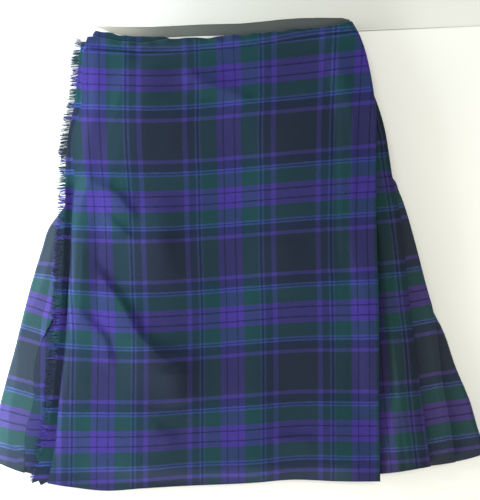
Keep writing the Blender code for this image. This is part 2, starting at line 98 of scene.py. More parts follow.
# How far the strip's lower end stands past its edge, as (share of the way out, distance): it ends in two
# points.
STRIP_END = ((0, 2), (0.3, 0), (0.6, -4.8), (0.7, 1.3), (1, -1.7))
THREAD_TIPS = (
    (293, -214), (275, -220.5), (245, -222.5), (210, -227), (182, -233), (150, -238), (103, -239),
    (62, -239), (6, -243), (-54, -245), (-108, -249), (-175, -256), (-213, -259), (-252, -267), (-308, -278))

# The edges that run across, as (x, y) from left to right.
FRONT_TOP = (
    (-199, 297), (-178, 295.5), (-162, 292.5), (-142, 291), (-127, 289.5), (-113, 290.8), (-100, 293),
    (-88, 294.2), (-73, 294.2), (-66, 296), (-46, 296.4), (-26, 296.8), (-14, 299), (8, 300), (32, 302.5),
    (62, 305.2), (85, 309), (100, 308.6), (132, 312.8), (159, 319))
FRONT_SEAM = ((-203, 280), (-137, 276), (-79, 276), (-35, 279), (41, 287), (98, 296.5), (159, 303))
FRONT_HEM = (
    (-254, -309), (-224, -314), (-174, -320), (-128, -317), (-58, -313), (29, -309), (75, -305), (144, -307),
    (199, -307))
UNDER_TOP = (
    (-191, 306), (-180, 304.2), (-166, 303.6), (-160, 301.2), (-146, 300.2), (-140, 299.2), (-126, 298.8),
    (-101, 298.2), (-95, 298), (-88, 295.2), (-64, 292), (8, 297), (90, 304), (159, 316))
BACK_TOP = ((-190, 293), (-64, 293), (8, 299), (90, 306), (159, 316))
BACK_HEM = (
    (-345, -274), (-318, -284), (-284, -296), (-254, -300), (0, -304), (203, -297), (267, -286), (314, -278),
    (345, -269))

# The waistband: its depth and how far its middle bulges, and the x where it starts on the front, goes round
# the right and left sides and ends beneath.
BAND_DEPTH = 18.0
BAND_ARCH = 1.6
BAND_START = -199.0
BAND_RIGHT = 154.0
BAND_LEFT = -187.0
BAND_END = 136.0
# How far the band's two top corners lean in or out from its seam, and how far its outer and inner layers
# reach past the sides.
BAND_LEAN = (-4, 8)
BAND_REACH_RIGHT = (7.0, 3.0)
BAND_REACH_LEFT = (5.0, 0.75)

# What shows of the background beyond the waist, as (x, y): a dark strip that paints the kilt's shadow, the
# pale board and its joint.
SHADOW_STRIP_TOP = (
    (-191, 313.6), (-154, 312.4), (-113, 312.3), (-79, 313.9), (-45, 315.7), (9, 317), (36, 319.4),
    (63, 322.4), (90, 324.4), (118, 325), (148, 324.6), (158, 322))
SHADOW_STRIP_LOW = (
    (-191, 312.6), (-178, 308.5), (-165, 303.7), (-150, 300.4), (-133, 298.2), (-100, 297.5), (-46, 299.8),
    (-14, 300.4), (-4, 299), (29, 301), (77, 306), (158, 315))
JOINT = ((168, 307.2), (340, 314.6))
JOINT_WIDE = 1.3

# The pleats: how many the back shows, and what share of each is hidden in its fold or slopes to the next.
BACK_REVEALS = 20
HIDDEN_SHARE = 0.55
SLOPE_SHARE = 0.3
# How far in from the back's side edges the other layers find it at its full height.
BACK_MARGIN = 12.0
SIDE_FOLD_REACH = 4.5
SIDE_FOLD_POINTS = 13
HIDDEN_DEPTH = 16.0
LEFT_HIDDEN_DEPTH = 13.0
DEEP_PLEAT_DEPTH = 26.0
FLAP_LIFT = 1.6
# The slope on which side pleat 1 rises from the apron's edge: its start, its rise a millimetre, how far it
# goes on and how softly it meets what lies beneath.
SIDE_1_RISE = (5.0, 0.3, 26.0, 0.7)

# The fringe, from its first thread by the waist to its last by the hem, how far the first ones fan out, and
# how far the woven strip rises to its outer edge.
FRINGE_TOP = 291.0
FRINGE_END = -307.5
TOP_FAN = 9.0
FRINGE_RISE = 2.4
# The threads' seed, the points along each, their lengths as shares of the way to the line of tips, the
# pitches of the bunches that they lean into, and how far they sink on the way.
THREAD_SEED = 23
THREAD_RINGS = 7
THREAD_LENGTHS = (0.75, 1.3)
BUNCH_PITCHES = (0.78, 3.7)
THREAD_FALL = 6.5

# How far a layer looks for what lies beneath it, as (across, along), and how much more softly the apron's
# face lies.
PLEAT_REACH = (9.0, 22.0)
TURN_REACH = (10.0, 20.0)
FACE_REACH = (5.0, 20.0)
FACE_SOFTEN = 10.0
# How far pressed folds bulge, and the radius of the back's.
PRESSED_REACH = 0.9
SHARP_REACH = 0.6
FOLD_RADIUS = 1.1
# The over apron's face is free to rise this far in from its free edge, and this much further by the waist,
# and this far from its fold and from its seam, which is a share of the way down. Then its free edge's roll,
# from where it starts to its crest and to where it ends, and its lift at the seam, with where that starts
# and is whole.
FREE_EDGE = 9.0
FREE_EDGE_WAIST = 14.0
FREE_FOLD = 45.0
FREE_SEAM = 0.05
EDGE_ROLL = 0.6
ROLL_START = (0.5, 6.0)
ROLL_END = (46.0, 12.0)
SEAM_LIFT = 0.9
SEAM_ROWS = (0.03, 0.004)

# Edges sharper than this angle aren't shaded smoothly, and the pile's cells and half its size.
SHARP_ANGLE = 1.0
CELL = 2.0
PILE_HALF = (360, 340)

# The grids' rows from waist to hem, their columns, and the longest steps across where columns are added.
BACK_ROWS = 72
SIDE_3_ROWS = 90
PLEAT_ROWS = 100
UNDER_ROWS = 160
FRONT_ROWS = 190
STRIP_ROWS = 240
HIDDEN_COLUMNS = 8
LEFT_COLUMNS = 26
SIDE_COLUMNS = 44
BACK_STEP = 9.0
SIDE_STEP = 5.0

# A repeat's size across and down, how far the back's reveals step on in it, how deep the cloth is, and the
# repeats across on each side pleat's fold.
SETT_ACROSS_MM = 177.0
SETT_DOWN_MM = 164.0
REVEAL_STEP = 25 / SETT_ACROSS_MM
CLOTH_DEPTH = 3.34 * SETT_DOWN_MM
SIDE_1_REPEAT = 0.229
SIDE_2_REPEAT = 0.62
SIDE_3_REPEAT = 0.62
LEFT_REPEAT = 0.6635

# A band on each side pleat and on the left one, as (x, y, whole repeats), and how its bands tilt and bow.
SIDE_BANDS = {1: (219.0, -62.6, 2), 2: (251.6, -54.3, 2), 3: (307.4, -210.2, 3)}
SIDE_TILTS = {1: 0.10, 2: 0.19, 3: 0.15}
LEFT_BAND = (-302.0, -219.6, 3)
LEFT_TILT = -0.24
LEFT_BOW = -0.0014
LEFT_EASE = 0.29
LEFT_DROP = 4.5
# The same for the strip of the under apron that shows beside the left pleat, and the stripe on it.
UNDER_BAND = (-262.0, -230.5, 3)
UNDER_TILT = -0.05
UNDER_STRIPE = (-259.5, 0.6705)
UNDER_RISE = 3.2
# How much higher the fringe's bands lie than the over apron's, as (y, height).
FRINGE_SHIFTS = (
    (300, 3), (100, 3), (7, 3), (-20, 1.5), (-48, 0), (-75, -2), (-102, -2), (-129, 1), (-156, 1.5),
    (-184, 5), (-211, 6), (-238, 9.5), (-265, 9), (-310, 9))

# Where the tartan's repeats lie on the over apron, as (repeats, line). A whole repeat is the middle of a
# purple band and a half is the middle of the ground. Lines that run across are (x, y), and lines that run
# down are (y, x).
LINES_ACROSS = (
    (-0.25, ((-196, 282.2), (-114, 279.5), (0, 289), (104, 300.7), (172, 308.7))),
    (0.0, ((-196, 239.2), (-157, 237.7), (-114, 236.4), (-75, 237.8), (-29, 242.2), (25, 247.4), (84, 253),
           (145, 260.6), (172, 263.7))),
    (0.5, ((-195, 155.5), (-114, 154.2), (-39, 157.4), (25, 162.9), (84, 168.1), (145, 173.6))),
    (1.0, ((-217, 73.6), (-157, 72.6), (-93, 73), (-39, 75.8), (25, 80.7), (84, 85.7), (172, 92))),
    (1.5, ((-217, -6.3), (-150, -8.6), (-93, -8.3), (-39, -4.5), (25, 0.5), (84, 4.8), (172, 10))),
    (2.0, ((-195, -87.3), (-157, -90.5), (-114, -90), (-75, -88.3), (-29, -85.3), (25, -81.2), (84, -76.5),
           (172, -73.7))),
    (2.5, ((-217, -169.4), (-114, -170.5), (-39, -166.4), (25, -160.9), (84, -157), (172, -156.2))),
    (3.0, ((-195, -253.2), (-157, -252.9), (-114, -251.6), (-75, -248.7), (-29, -246), (25, -243.3),
           (84, -238), (172, -238))),
)
LINES_DOWN = (
    (0.0, ((262, -190.7), (163, -189.5), (116, -186.3), (75, -182.7), (14, -180.6), (-48, -179),
           (-109, -176.6), (-173, -177.5), (-258, -178.5))),
    (0.5, ((262, -97.8), (146, -97), (102, -95.1), (0, -92), (-68, -89.5), (-173, -89.3), (-282, -89.9))),
    (1.0, ((262, -7.5), (227, -6), (177, -7.4), (116, -5.9), (0, -5), (-48, -3.2), (-109, -2.2),
           (-258, -1.4))),
    (1.5, ((252, 86.1), (163, 84.2), (50, 83.8), (-10, 84.3), (-86, 86.4), (-258, 87.3))),
    (2.0, ((227, 179), (177, 176.1), (116, 174.7), (61, 172.9), (14, 172.9), (-48, 175), (-109, 176),
           (-282, 176.9))),
)
# The stripe that each side pleat shows near its fold, as (y, x).
SIDE_1_STRIPE = (
    (102.7, 204), (66, 209.4), (15.6, 216.2), (-53.7, 223), (-120.4, 230.8), (-192.4, 236.4),
    (-252.3, 242.8), (-278.1, 245.8))
LEFT_STRIPE = (
    (20.4, -241.4), (0, -243.7), (-17.7, -245.5), (-61.2, -252), (-85.7, -258.1), (-122.4, -261.5),
    (-170.7, -260.5), (-290, -268))

# The sett from the middle of a purple band to the middle of the dark ground: (end as a share, colour).
SETT_ACROSS = (
    (0.071, "purple"), (0.092, "line"), (0.182, "purple"), (0.418, "green"), (0.450, "steel"),
    (0.482, "ink"), (0.514, "steel"), (0.622, "dark"), (0.696, "violet"), (1.0, "ground"))
SETT_DOWN = (
    (0.068, "purple"), (0.090, "line"), (0.178, "purple"), (0.408, "green"), (0.434, "blue"),
    (0.460, "navy"), (0.486, "blue"), (0.624, "dark"), (0.684, "violet"), (1.0, "ground"))
# The repeats down the waistband's own strip, which shows a blue line pair in its middle: at this height
# above the seam.
BAND_PAIR = (5.2, 0.225)

# How high the over apron stands above what it lies on, as (x, height).
FULLNESS = (
    (-226, 0), (-170, 2.6), (-118, 5.6), (-92, 5.8), (-52, 4.0), (-14, 2.8), (8, 3.2), (40, 5.2), (72, 7.2),
    (96, 8.0), (120, 8.0), (137, 7.6), (145, 6.0), (154, 3.0), (164, 0.8), (178, 0.4), (200, 0))
# Soft folds in the over apron: the line (x, y) on which each is steepest, its height, and its widths on the
# gentle side and on the steep one.
CREASES = (
    (((-209, 118), (-198, 108), (-169, 94), (-151, 80), (-137, 61), (-122, 47)), 2.8, 26.0, 6.0),
    (((-179, 66), (-156, 42), (-137, 28), (-107, 26), (-75, 29)), 1.5, 14.0, 5.0),
    (((-94, 95), (-86, 50), (-79, 0), (-62, -42)), 2.6, 34.0, 24.0),
    (((-92, 350), (-111, 200), (-141, 100), (-157, 0), (-167, -50)), 3.0, 17.0, 30.0),
    (((-190, 0), (-179, -24), (-160, -48), (-146, -67), (-132, -95), (-113, -118), (-89, -137), (-62, -140),
      (-30, -140)), 4.2, 34.0, 6.5),
    (((-214, -67), (-197, -85), (-178, -104), (-166, -132), (-163, -159)), 2.0, 18.0, 5.0),
    (((-66, -148), (-64, -175), (-60, -205)), 3.0, 26.0, 20.0),
    (((-110, -228), (-75, -247)), 1.4, 20.0, 10.0),
    (((-66, 262), (-47, 244), (-12, 231), (33, 212)), 2.6, 14.0, 6.0),
    (((84, 30), (88, -60)), 1.2, 30.0, 24.0),
    (((50, -244), (114, -246)), 1.0, 16.0, 6.0),
)

# The tartan's looks, as (name, tone, sheen). The tones paint light and shade into the colour: painted light
# makes the second and third side pleats and the left pleat paler, and painted shade makes the first side pleat
# and the loose threads darker. The shares say how much of the colour comes from the stripes that run across.
CLOTH_SHARE = 0.56
FRINGE_SHARE = 0.9
CLOTH_TARTAN = ("kilt_tartan", (1, 1, 1), 1.0)
# Painted light: this tone makes the second and third side pleats paler, as the light that falls on them.
SIDE_TARTAN_PAINTED_LIGHT = ("kilt_tartan_side", (2.1, 1.75, 1.35), 1.3)
# Painted shade: this tone makes the first side pleat darker and warmer, as the over apron's shadow on it.
NEAR_TARTAN_PAINTED_SHADE = ("kilt_tartan_near", (1.06, 0.93, 0.76), 1.0)
# Painted light: this tone makes the left pleat paler and greyer, as the light from the left falls on it.
LEFT_TARTAN_PAINTED_LIGHT = ("kilt_tartan_left", (1.66, 1.6, 1.22), 1.3)
STRIP_TARTAN = ("kilt_fringe_strip", (1, 1, 1), 0.5)
# Painted shade: this tone makes the loose threads darker, as their shadows on each other.
THREAD_TARTAN_PAINTED_SHADE = ("kilt_loose_thread", (0.75, 0.75, 0.72), 0.3)

# The two pleats beside the apron: the height of the top, the fold edge, the edge beneath which the inner
# side goes in and how far, the name, what it lies on and its look.
SIDE_PLEATS = {
    1: (224.0, SIDE_1_EDGE, APRON_RIGHT, 20.0, "side_pleat_first", "side_pleat_second", NEAR_TARTAN_PAINTED_SHADE),
    2: (112.0, SIDE_2_EDGE, SIDE_1_EDGE, 14.0, "side_pleat_second", "side_pleat_third", SIDE_TARTAN_PAINTED_LIGHT),
}

# The background beyond the waist, as (name, upper line, lower line, height in metres, the two x in metres
# between which its colours change, those colours as a screen shows them, roughness). The dark strip is a
# painted shadow of the kilt, and the board's colours paint shade that is deepest behind the kilt.
BACKGROUND = (
    # Painted shadow: a dark sheet where the kilt's shadow falls beyond the waist, paler at its left end where
    # the shadow's edge is soft.
    ("dark_strip", SHADOW_STRIP_TOP, SHADOW_STRIP_LOW, 0.0002, (-0.19, 0.12),
     ((176, 173, 162), (96, 101, 96), (74, 80, 79), (70, 76, 76)), 0.8),
    # Painted shade: the board's colours grow darker behind the kilt and pale again towards both ends.
    ("pale_board", ((-360, 420), (500, 420)),
     ((-360, 320), (-230, 314), *((x, y + 0.4) for x, y in SHADOW_STRIP_TOP), (166, 308), (400, 317.6)), 0.0001,
     (-0.23, 0.27), ((240, 240, 234), (218, 220, 215), (210, 212, 206), (208, 210, 202), (212, 212, 205),
                     (228, 228, 222)), 0.55),
    ("board_joint", JOINT, [(x, y - JOINT_WIDE) for x, y in JOINT], 0.0002, (0.17, 0.33),
     ((150, 150, 140), (200, 200, 190)), 0.8),
)
ROOM_COLOUR = (0.97, 1.0, 0.98, 1.0)
# The lights, whose powers are settings, as (name, place, aim, size, colour), in metres.
LIGHTS = (
    ("side", (-1.5, 0.0, 0.60), (0.0, 0.0, 0.0), (0.9, 0.6), (0.95, 0.985, 1.0)),
    ("near", (-0.5, 0.1, 0.1), (-0.26, 0.1, 0.0), (0.9, 0.08), (0.9, 0.97, 1.0)),
    ("front", (-0.1, -0.85, 0.09), (-0.07, -0.3, 0.0), (0.6, 0.08), (1.0, 0.98, 0.95)),
    ("right", (0.95, 0.0, 0.95), (0.25, 0.0, 0.0), (0.7, 0.5), (1.0, 0.98, 0.89)),
    ("rear", (-0.15, 0.9, 0.5), (-0.12, 0.3, 0.0), (0.6, 0.15), (0.98, 0.99, 1.0)),
)
# The camera's aim in metres and its sensor in millimetres, half the surface's side, and the points along a
# ribbon.
CAMERA_AIM = (0.0082, 0.0075, 0.008)
SENSOR_WIDTH = 36.0
SURFACE_HALF = 4.0
RIBBON_POINTS = 200


def smooth(table, at):
    """A curve through a table's rows that turns gently, and goes on straight past its ends."""
    knots, values = np.array(sorted(table), float).T
    steps, rises = np.diff(knots), np.diff(values)
    slopes = rises / steps
    bend = np.concatenate([slopes[:1], (slopes[:-1] * steps[1:] + slopes[1:] * steps[:-1])
                           / (steps[:-1] + steps[1:]), slopes[-1:]])
    at = np.asarray(at, float)
    i = np.clip(np.searchsorted(knots, at) - 1, 0, len(steps) - 1)
    t = np.clip((at - knots[i]) / steps[i], 0, 1)
    inside = (values[i] + rises[i] * t * t * (3 - 2 * t)
              + steps[i] * t * (1 - t) * (bend[i] * (1 - t) - bend[i + 1] * t))
    past = np.minimum(at - knots[0], 0) * bend[0] + np.maximum(at - knots[-1], 0) * bend[-1]
    return inside + past


def ease(low, high, at):
    """From 0 at low to 1 at high, level at both ends: t * t * (3 - 2 * t)."""
    t = np.clip((at - low) / (high - low), 0, 1)
    return t * t * (3 - 2 * t)


def edge_of(table, above=0.0):
    """The height of a curve through a table at any x, raised by this much."""
    return lambda x: smooth(table, x) + above


# The top edge and the hem of the front, back and under layers.
FRONT = (edge_of(FRONT_SEAM, -GAP), edge_of(FRONT_HEM))
BACK = (edge_of(BACK_TOP, -BAND_DEPTH - GAP), edge_of(BACK_HEM))
UNDER = (edge_of(UNDER_TOP, -BAND_DEPTH - GAP), edge_of(BACK_HEM, 1.0))


class Rows:
    """A piece's rows, each a share of the way down from its top edge to its hem."""

    def __init__(self, count, top, hem):
        self.down = np.linspace(0, 1, count)
        self.top, self.hem = top, hem

    def __len__(self):
        return len(self.down)

    def y(self, x):
        """Where the rows lie at x: each share's mix of the top edge and the hem."""
        down = self.down.reshape([-1] + [1] * (np.ndim(x) - 1))
        return (1 - down) * self.top(x) + down * self.hem(x)

    def edge(self, table):
        """The x where each row meets an edge, found by going to the edge and back to the row a few times."""
        x = smooth(table, self.y(0 * self.down))
        for _ in range(6):
            x = smooth(table, self.y(x))
        return x


def level(count):
    """The height of the middle of a wall with this many walls beneath it."""
    return count * PITCH + LAYER / 2


def across(start, end, count, power=1.0):
    """Columns between two edges, a value for each row; a power above 1 crowds them at the start."""
    return start[:, None] + (end - start)[:, None] * np.linspace(0, 1, count) ** power


def between(grid, i, j):
    """Values of a grid at places between its points, mixed from the four that surround each."""
    i0, j0 = (np.minimum(at.astype(int), n - 2) for at, n in zip((i, j), grid.shape))
    s, t = i - i0, j - j0
    return ((1 - s) * (1 - t) * grid[i0, j0] + s * (1 - t) * grid[i0 + 1, j0]
            + (1 - s) * t * grid[i0, j0 + 1] + s * t * grid[i0 + 1, j0 + 1])


def swept(grid, axis, cells, join):
    """Each cell joined with its neighbours up to this many cells away along one axis."""
    wide = np.pad(grid, [(cells, cells) if a == axis else (0, 0) for a in (0, 1)], mode="edge")
    size = grid.shape[axis]
    return join([np.take(wide, np.arange(k, k + size), axis=axis) for k in range(2 * cells + 1)])


class Pile:
    """The height of everything laid so far, on square cells."""

    def __init__(self):
        self.shape = tuple(int(2 * half / CELL) + 1 for half in PILE_HALF)
        self.height = np.zeros(self.shape)

    def cell(self, x, y):
        """The places of these points in the grid, counted in cells."""
        return [(at + half) / CELL for at, half in zip((x, y), PILE_HALF)]

    def add(self, x, y, top):
        """Raises the pile to the top face of a layer, given as grids of points."""
        steps = [max(np.abs(np.diff(grid, axis=axis)).max() for grid in (x, y)) for axis in (0, 1)]
        spans = [int(np.ceil(step / CELL * 1.5)) + 1 for step in steps]
        fine = [np.linspace(0, n - 1, (n - 1) * span + 1) for n, span in zip(x.shape, spans)]
        x, y, top = (between(grid, fine[0][:, None], fine[1][None, :]) for grid in (x, y, top))
        cells = zip(self.cell(x, y), self.shape)
        i, j = (np.clip(np.round(at).astype(int), 0, n - 1) for at, n in cells)
        np.maximum.at(self.height, (i, j), top)

    def rest(self, x, y, across, along, soften=6.0):
        """The height of the middle of a wall laid here: over the highest point in reach, then softened."""
        found = self.height
        for axis, reach in enumerate((across + soften, along + soften)):
            found = swept(found, axis, int(np.ceil(reach / CELL)), np.maximum.reduce)
        for axis in (0, 1):
            found = swept(found, axis, int(soften / CELL), lambda shifted: np.mean(shifted, axis=0))
        i, j = (np.clip(at, 0, n - 1) for at, n in zip(self.cell(x, y), self.shape))
        return between(found, i, j) + GAP + LAYER / 2

    def lay(self, x, y, *reach):
        """Rests a wall here and raises the pile to its top face. Gives the height of the wall's middle."""
        z = self.rest(x, y, *reach)
        self.add(x, y, z + LAYER / 2)
        return z


def rounded(x, z, u, radius, steps=5):
    """A path with its corners rounded: each corner becomes a quadratic curve between the points one radius,
    or under half a leg, before and after it. Grids of x, height and repeats go in and come out."""
    path = np.stack([x, z, u], axis=-1)
    before, corner, after = path[:, :-2], path[:, 1:-1], path[:, 2:]
    ends = []
    for other in (before, after):
        leg = other - corner
        length = np.linalg.norm(leg[..., :2], axis=-1, keepdims=True)
        ends.append(corner + leg / np.maximum(length, 1e-9) * np.minimum(radius, 0.45 * length))
    t = np.linspace(0, 1, steps)[:, None]
    start, middle, end = (p[:, :, None] for p in (ends[0], corner, ends[1]))
    curve = (1 - t) ** 2 * start + 2 * t * (1 - t) * middle + t ** 2 * end
    curve = curve.reshape(len(x), -1, 3)
    path = np.concatenate([path[:, :1], curve, path[:, -1:]], axis=1)
    return path[..., 0], path[..., 1], path[..., 2]


def finer(at_most, *grids):
    """Grids with columns added so that no step of the first is longer than at_most, by straight mixing."""
    longest = np.abs(np.diff(grids[0], axis=1)).max(axis=0)
    counts = np.maximum(np.ceil(longest / at_most).astype(int), 1)
    column = np.repeat(np.arange(len(counts)), counts)
    first = np.repeat(np.cumsum(counts) - counts, counts)
    t = (np.arange(counts.sum()) - first) / counts[column]
    column, t = np.append(column, len(counts) - 1), np.append(t, 1.0)
    return [g[:, column] * (1 - t) + g[:, column + 1] * t for g in grids]


def run_length(x, z):
    """How far along its path each point lies, row by row: the running sum of the steps' lengths."""
    steps = np.hypot(np.diff(x, axis=1), np.diff(z, axis=1))
    return np.concatenate([np.zeros((len(x), 1)), np.cumsum(steps, axis=1)], axis=1)


def repeats_along(x, z, at, repeats, way=1):
    """Repeats across, counted along each row's path from what column at has: those plus way times the run
    from there over a repeat's width."""
    run = run_length(x, z)
    return np.reshape(repeats, (-1, 1)) + way * (run - run[:, at:at + 1]) / SETT_ACROSS_MM


def repeats_between(lines, along, past):
    """Repeats from the lines on both sides of each point, mixed by how far the point is from each. The first
    and last pair of lines also serve what lies beyond them."""
    places = [smooth(table, along) for _, table in lines]
    found = 0.0
    for k, (start, _) in enumerate(lines[:-1]):
        here = start + (lines[k + 1][0] - start) * (past - places[k]) / (places[k + 1] - places[k])
        passed = (past - places[k]) * (places[-1] - places[0]) > 0
        found = here if k == 0 else np.where(passed, here, found)
    return found


def front_v(x, y):
    """Repeats down the cloth of the over apron."""
    return repeats_between(LINES_ACROSS, x, y)


def front_u(x, y):
    """Repeats across the cloth of the over apron."""
    return repeats_between(LINES_DOWN, y, x)


def tilted_v(x, y, at, tilt, bow=0.0):
    """Repeats down a pleat whose bands tilt: at is (x, y, whole repeats) on a band; bow bends the bands."""
    past = x - at[0]
    return at[2] + (at[1] + tilt * past + bow * past * past - y) / SETT_DOWN_MM


def back_v(x, y):
    """Repeats down the back and under layers, counted up from the hem so that the bands follow it."""
    return (CLOTH_DEPTH + smooth(BACK_HEM, x) - y) / SETT_DOWN_MM


def wave(x, y, pitch, seed):
    """Soft uneven ripples of about one pitch: a sum of five sine waves whose directions and phases are
    drawn."""
    draw = np.random.default_rng(seed)
    total = 0.0
    for _ in range(5):
        turn, phase = draw.uniform(0, 2 * np.pi, 2)
        length = pitch * draw.uniform(0.75, 1.6)
        total = total + np.sin((x * np.cos(turn) + y * np.sin(turn)) * 2 * np.pi / length + phase)
    return total / 5


def beside(line, x, y):
    """How far each point lies from a curve through these points, above zero on its left as it runs, and the
    share of the curve's length at which it passes the point."""
    corners = np.array(line, float)
    run = np.concatenate([[0], np.cumsum(np.hypot(*np.diff(corners, axis=0).T))])
    at = np.linspace(0, run[-1], 16)
    path = np.stack([smooth(list(zip(run, corners[:, k])), at) for k in (0, 1)], axis=1)
    best = np.full(np.shape(x), 1e9)
    off, share = np.zeros(np.shape(x)), np.zeros(np.shape(x))
    for k, (start, end) in enumerate(zip(path[:-1], path[1:])):
        way = end - start
        t = np.clip(((x - start[0]) * way[0] + (y - start[1]) * way[1]) / (way @ way), 0, 1)
        aside, ahead = x - start[0] - t * way[0], y - start[1] - t * way[1]
        away = np.hypot(aside, ahead)
        nearer = away < best
        best = np.where(nearer, away, best)
        off = np.where(nearer, away * np.sign(way[0] * ahead - way[1] * aside), off)
        share = np.where(nearer, (k + t) / (len(path) - 1), share)
    return off, share


def creases(x, y):
    """Soft folds: each rises slowly to a crest beside its line and drops across the line, like two halves of
    a bell curve of different widths, and dies away towards its ends."""
    total = 0.0
    for line, height, gentle, steep in CREASES:
        off, share = beside(line, x, y)
        past = off + 0.7 * steep
        bell = np.exp(-(past / np.where(past < 0, gentle, steep)) ** 2)
        total = total + height * bell * ease(0.0, 0.2, share) * ease(1.0, 0.75, share)
    return total


def swell(x, y):
    """The fullness of the over apron, which halves towards the waist and the hem on the right, and comes
    down to the hem and to its seam, with a few soft waves by the hem."""
    full = smooth(FULLNESS, x - 10 * np.exp(-((y + 105) / 60) ** 2) * ease(100, 150, x))
    full = full * (1 - 0.5 * ease(10, 70, x) * (ease(60, -150, y) + ease(110, 230, y)))
    waves = 1.6 * (0.5 + 0.5 * np.cos((x + 165) / 26)) * ease(-60, -280, y) * ease(-225, -190, x)
    return (full + waves) * ease(-311, -284, y) * ease(310, 200, y)


# ---------------------------------------------------------------- meshes


def shell(x, y, z, u, v, thickness):
    """A closed cloth wall round grids of middle points. Each point moves half the thickness either way along
    the normal, the cross product of the ways that its row and its column run; four rims close the edges."""
    points = np.stack([x, y, z], axis=-1)
    steps = np.diff(points, axis=1)
    steps /= np.maximum(np.linalg.norm(steps, axis=-1, keepdims=True), 1e-9)
    along = np.concatenate([steps[:, :1], (steps[:, :-1] + steps[:, 1:]) / 2, steps[:, -1:]], axis=1)
    normal = np.cross(np.gradient(points, axis=0), along)
    normal /= np.maximum(np.linalg.norm(normal, axis=-1, keepdims=True), 1e-9)
    half = normal * thickness / 2
    sides = np.concatenate([(points + half).reshape(-1, 3), (points - half).reshape(-1, 3)])
    rows, columns = x.shape
    number = np.arange(2 * rows * columns).reshape(2, rows, columns)
    quads = []
    for side, way in zip(number, (1, -1)):
        corners = [side[:-1, :-1], side[1:, :-1], side[1:, 1:], side[:-1, 1:]]
        quads.append(np.stack(corners, -1)[..., ::way])
    rims = ((number[:, 0], 1), (number[:, -1], -1), (number[:, :, 0], -1), (number[:, :, -1], 1))
    for rim, way in rims:
        quads.append(np.stack([rim[0, :-1], rim[0, 1:], rim[1, 1:], rim[1, :-1]], -1)[..., ::way])
    faces = np.concatenate([q.reshape(-1, 4) for q in quads])
    cloth_uv = np.tile(np.stack([u, v], axis=-1).reshape(-1, 2), (2, 1))
    return sides, faces, cloth_uv


def add_object(name, data):
    """An object in the scene, made from its data."""
    made = bpy.data.objects.new(name, data)
    bpy.context.scene.collection.objects.link(made)
    return made


def add_piece(name, node, finish, parts):
    """One object from parts of (points, quads, UV for each point), which stands for its CAD node."""
    offset, points, faces, places = 0, [], [], []
    for part_points, part_faces, part_uv in parts:
        points.append(part_points)
        faces.append(part_faces + offset)
        places.append(part_uv)
        offset += len(part_points)
    points, faces, places = (np.concatenate(a) for a in (points, faces, places))
    mesh = bpy.data.meshes.new(name)
    mesh.vertices.add(len(points))
    mesh.vertices.foreach_set("co", (points * MM).astype(np.float32).ravel())
    mesh.loops.add(faces.size)
    mesh.loops.foreach_set("vertex_index", faces.ravel().astype(np.int32))
    mesh.polygons.add(len(faces))
    mesh.polygons.foreach_set("loop_start", np.arange(0, faces.size, 4, dtype=np.int32))
    mesh.update(calc_edges=True)
    cloth_map = mesh.uv_layers.new(name="cloth")
    cloth_map.data.foreach_set("uv", places[faces.ravel()].astype(np.float32).ravel())
    shape = bmesh.new()
    shape.from_mesh(mesh)
    bmesh.ops.recalc_face_normals(shape, faces=shape.faces)
    shape.to_mesh(mesh)
    shape.free()
    mesh.shade_smooth()
    mesh.set_sharp_from_angle(angle=SHARP_ANGLE)
    mesh.materials.append(finish)
    made = add_object(name, mesh)
    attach(made, "root")
    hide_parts(node)
    return made


def lay_sheet(scene, name, node, grids, look=CLOTH_TARTAN):
    """A tartan sheet from its grids of x, y, height and repeats across and down.
    Sheets with one look share a material."""
    finish = bpy.data.materials.get(look[0]) or tartan(scene, CLOTH_SHARE, *look)
    made = add_piece(name, node, finish, [shell(*grids, scene.kilt_cloth.thickness / MM)])


def joined(*parts):
    """Grids of x and of height from parts that follow each other along the rows."""
    return [np.concatenate(grids, axis=1) for grids in zip(*parts)]


def turned(edge, low, high, reach, way, count=9):
    """Half a turn at a fold edge, as (x, z) columns from the lower wall to the upper one: a half ellipse,
    reach wide, whose outermost point is at the edge. way is 1 where the fold points to +X."""
    angles = np.linspace(-np.pi / 2, np.pi / 2, count)
    middle, half = (low + high)[:, None] / 2, (high - low)[:, None] / 2
    centre = edge - way * reach
    return centre[:, None] + way * reach * np.cos(angles), middle + half * np.sin(angles)


def pressed(under_x, under_z, face_x, face_z):
    """A hidden layer and a face, joined by the pressed fold from which both run, and the column of the fold's
    outermost point."""
    turn_x, turn_z = turned(face_x[:, 0] + PRESSED_REACH, under_z[:, -1], face_z[:, 0], PRESSED_REACH, 1)
    x, z = joined((under_x[:, :-1], under_z[:, :-1]), (turn_x, turn_z), (face_x[:, 1:], face_z[:, 1:]))
    return x, z, under_x.shape[1] + 3


PILE = Pile()


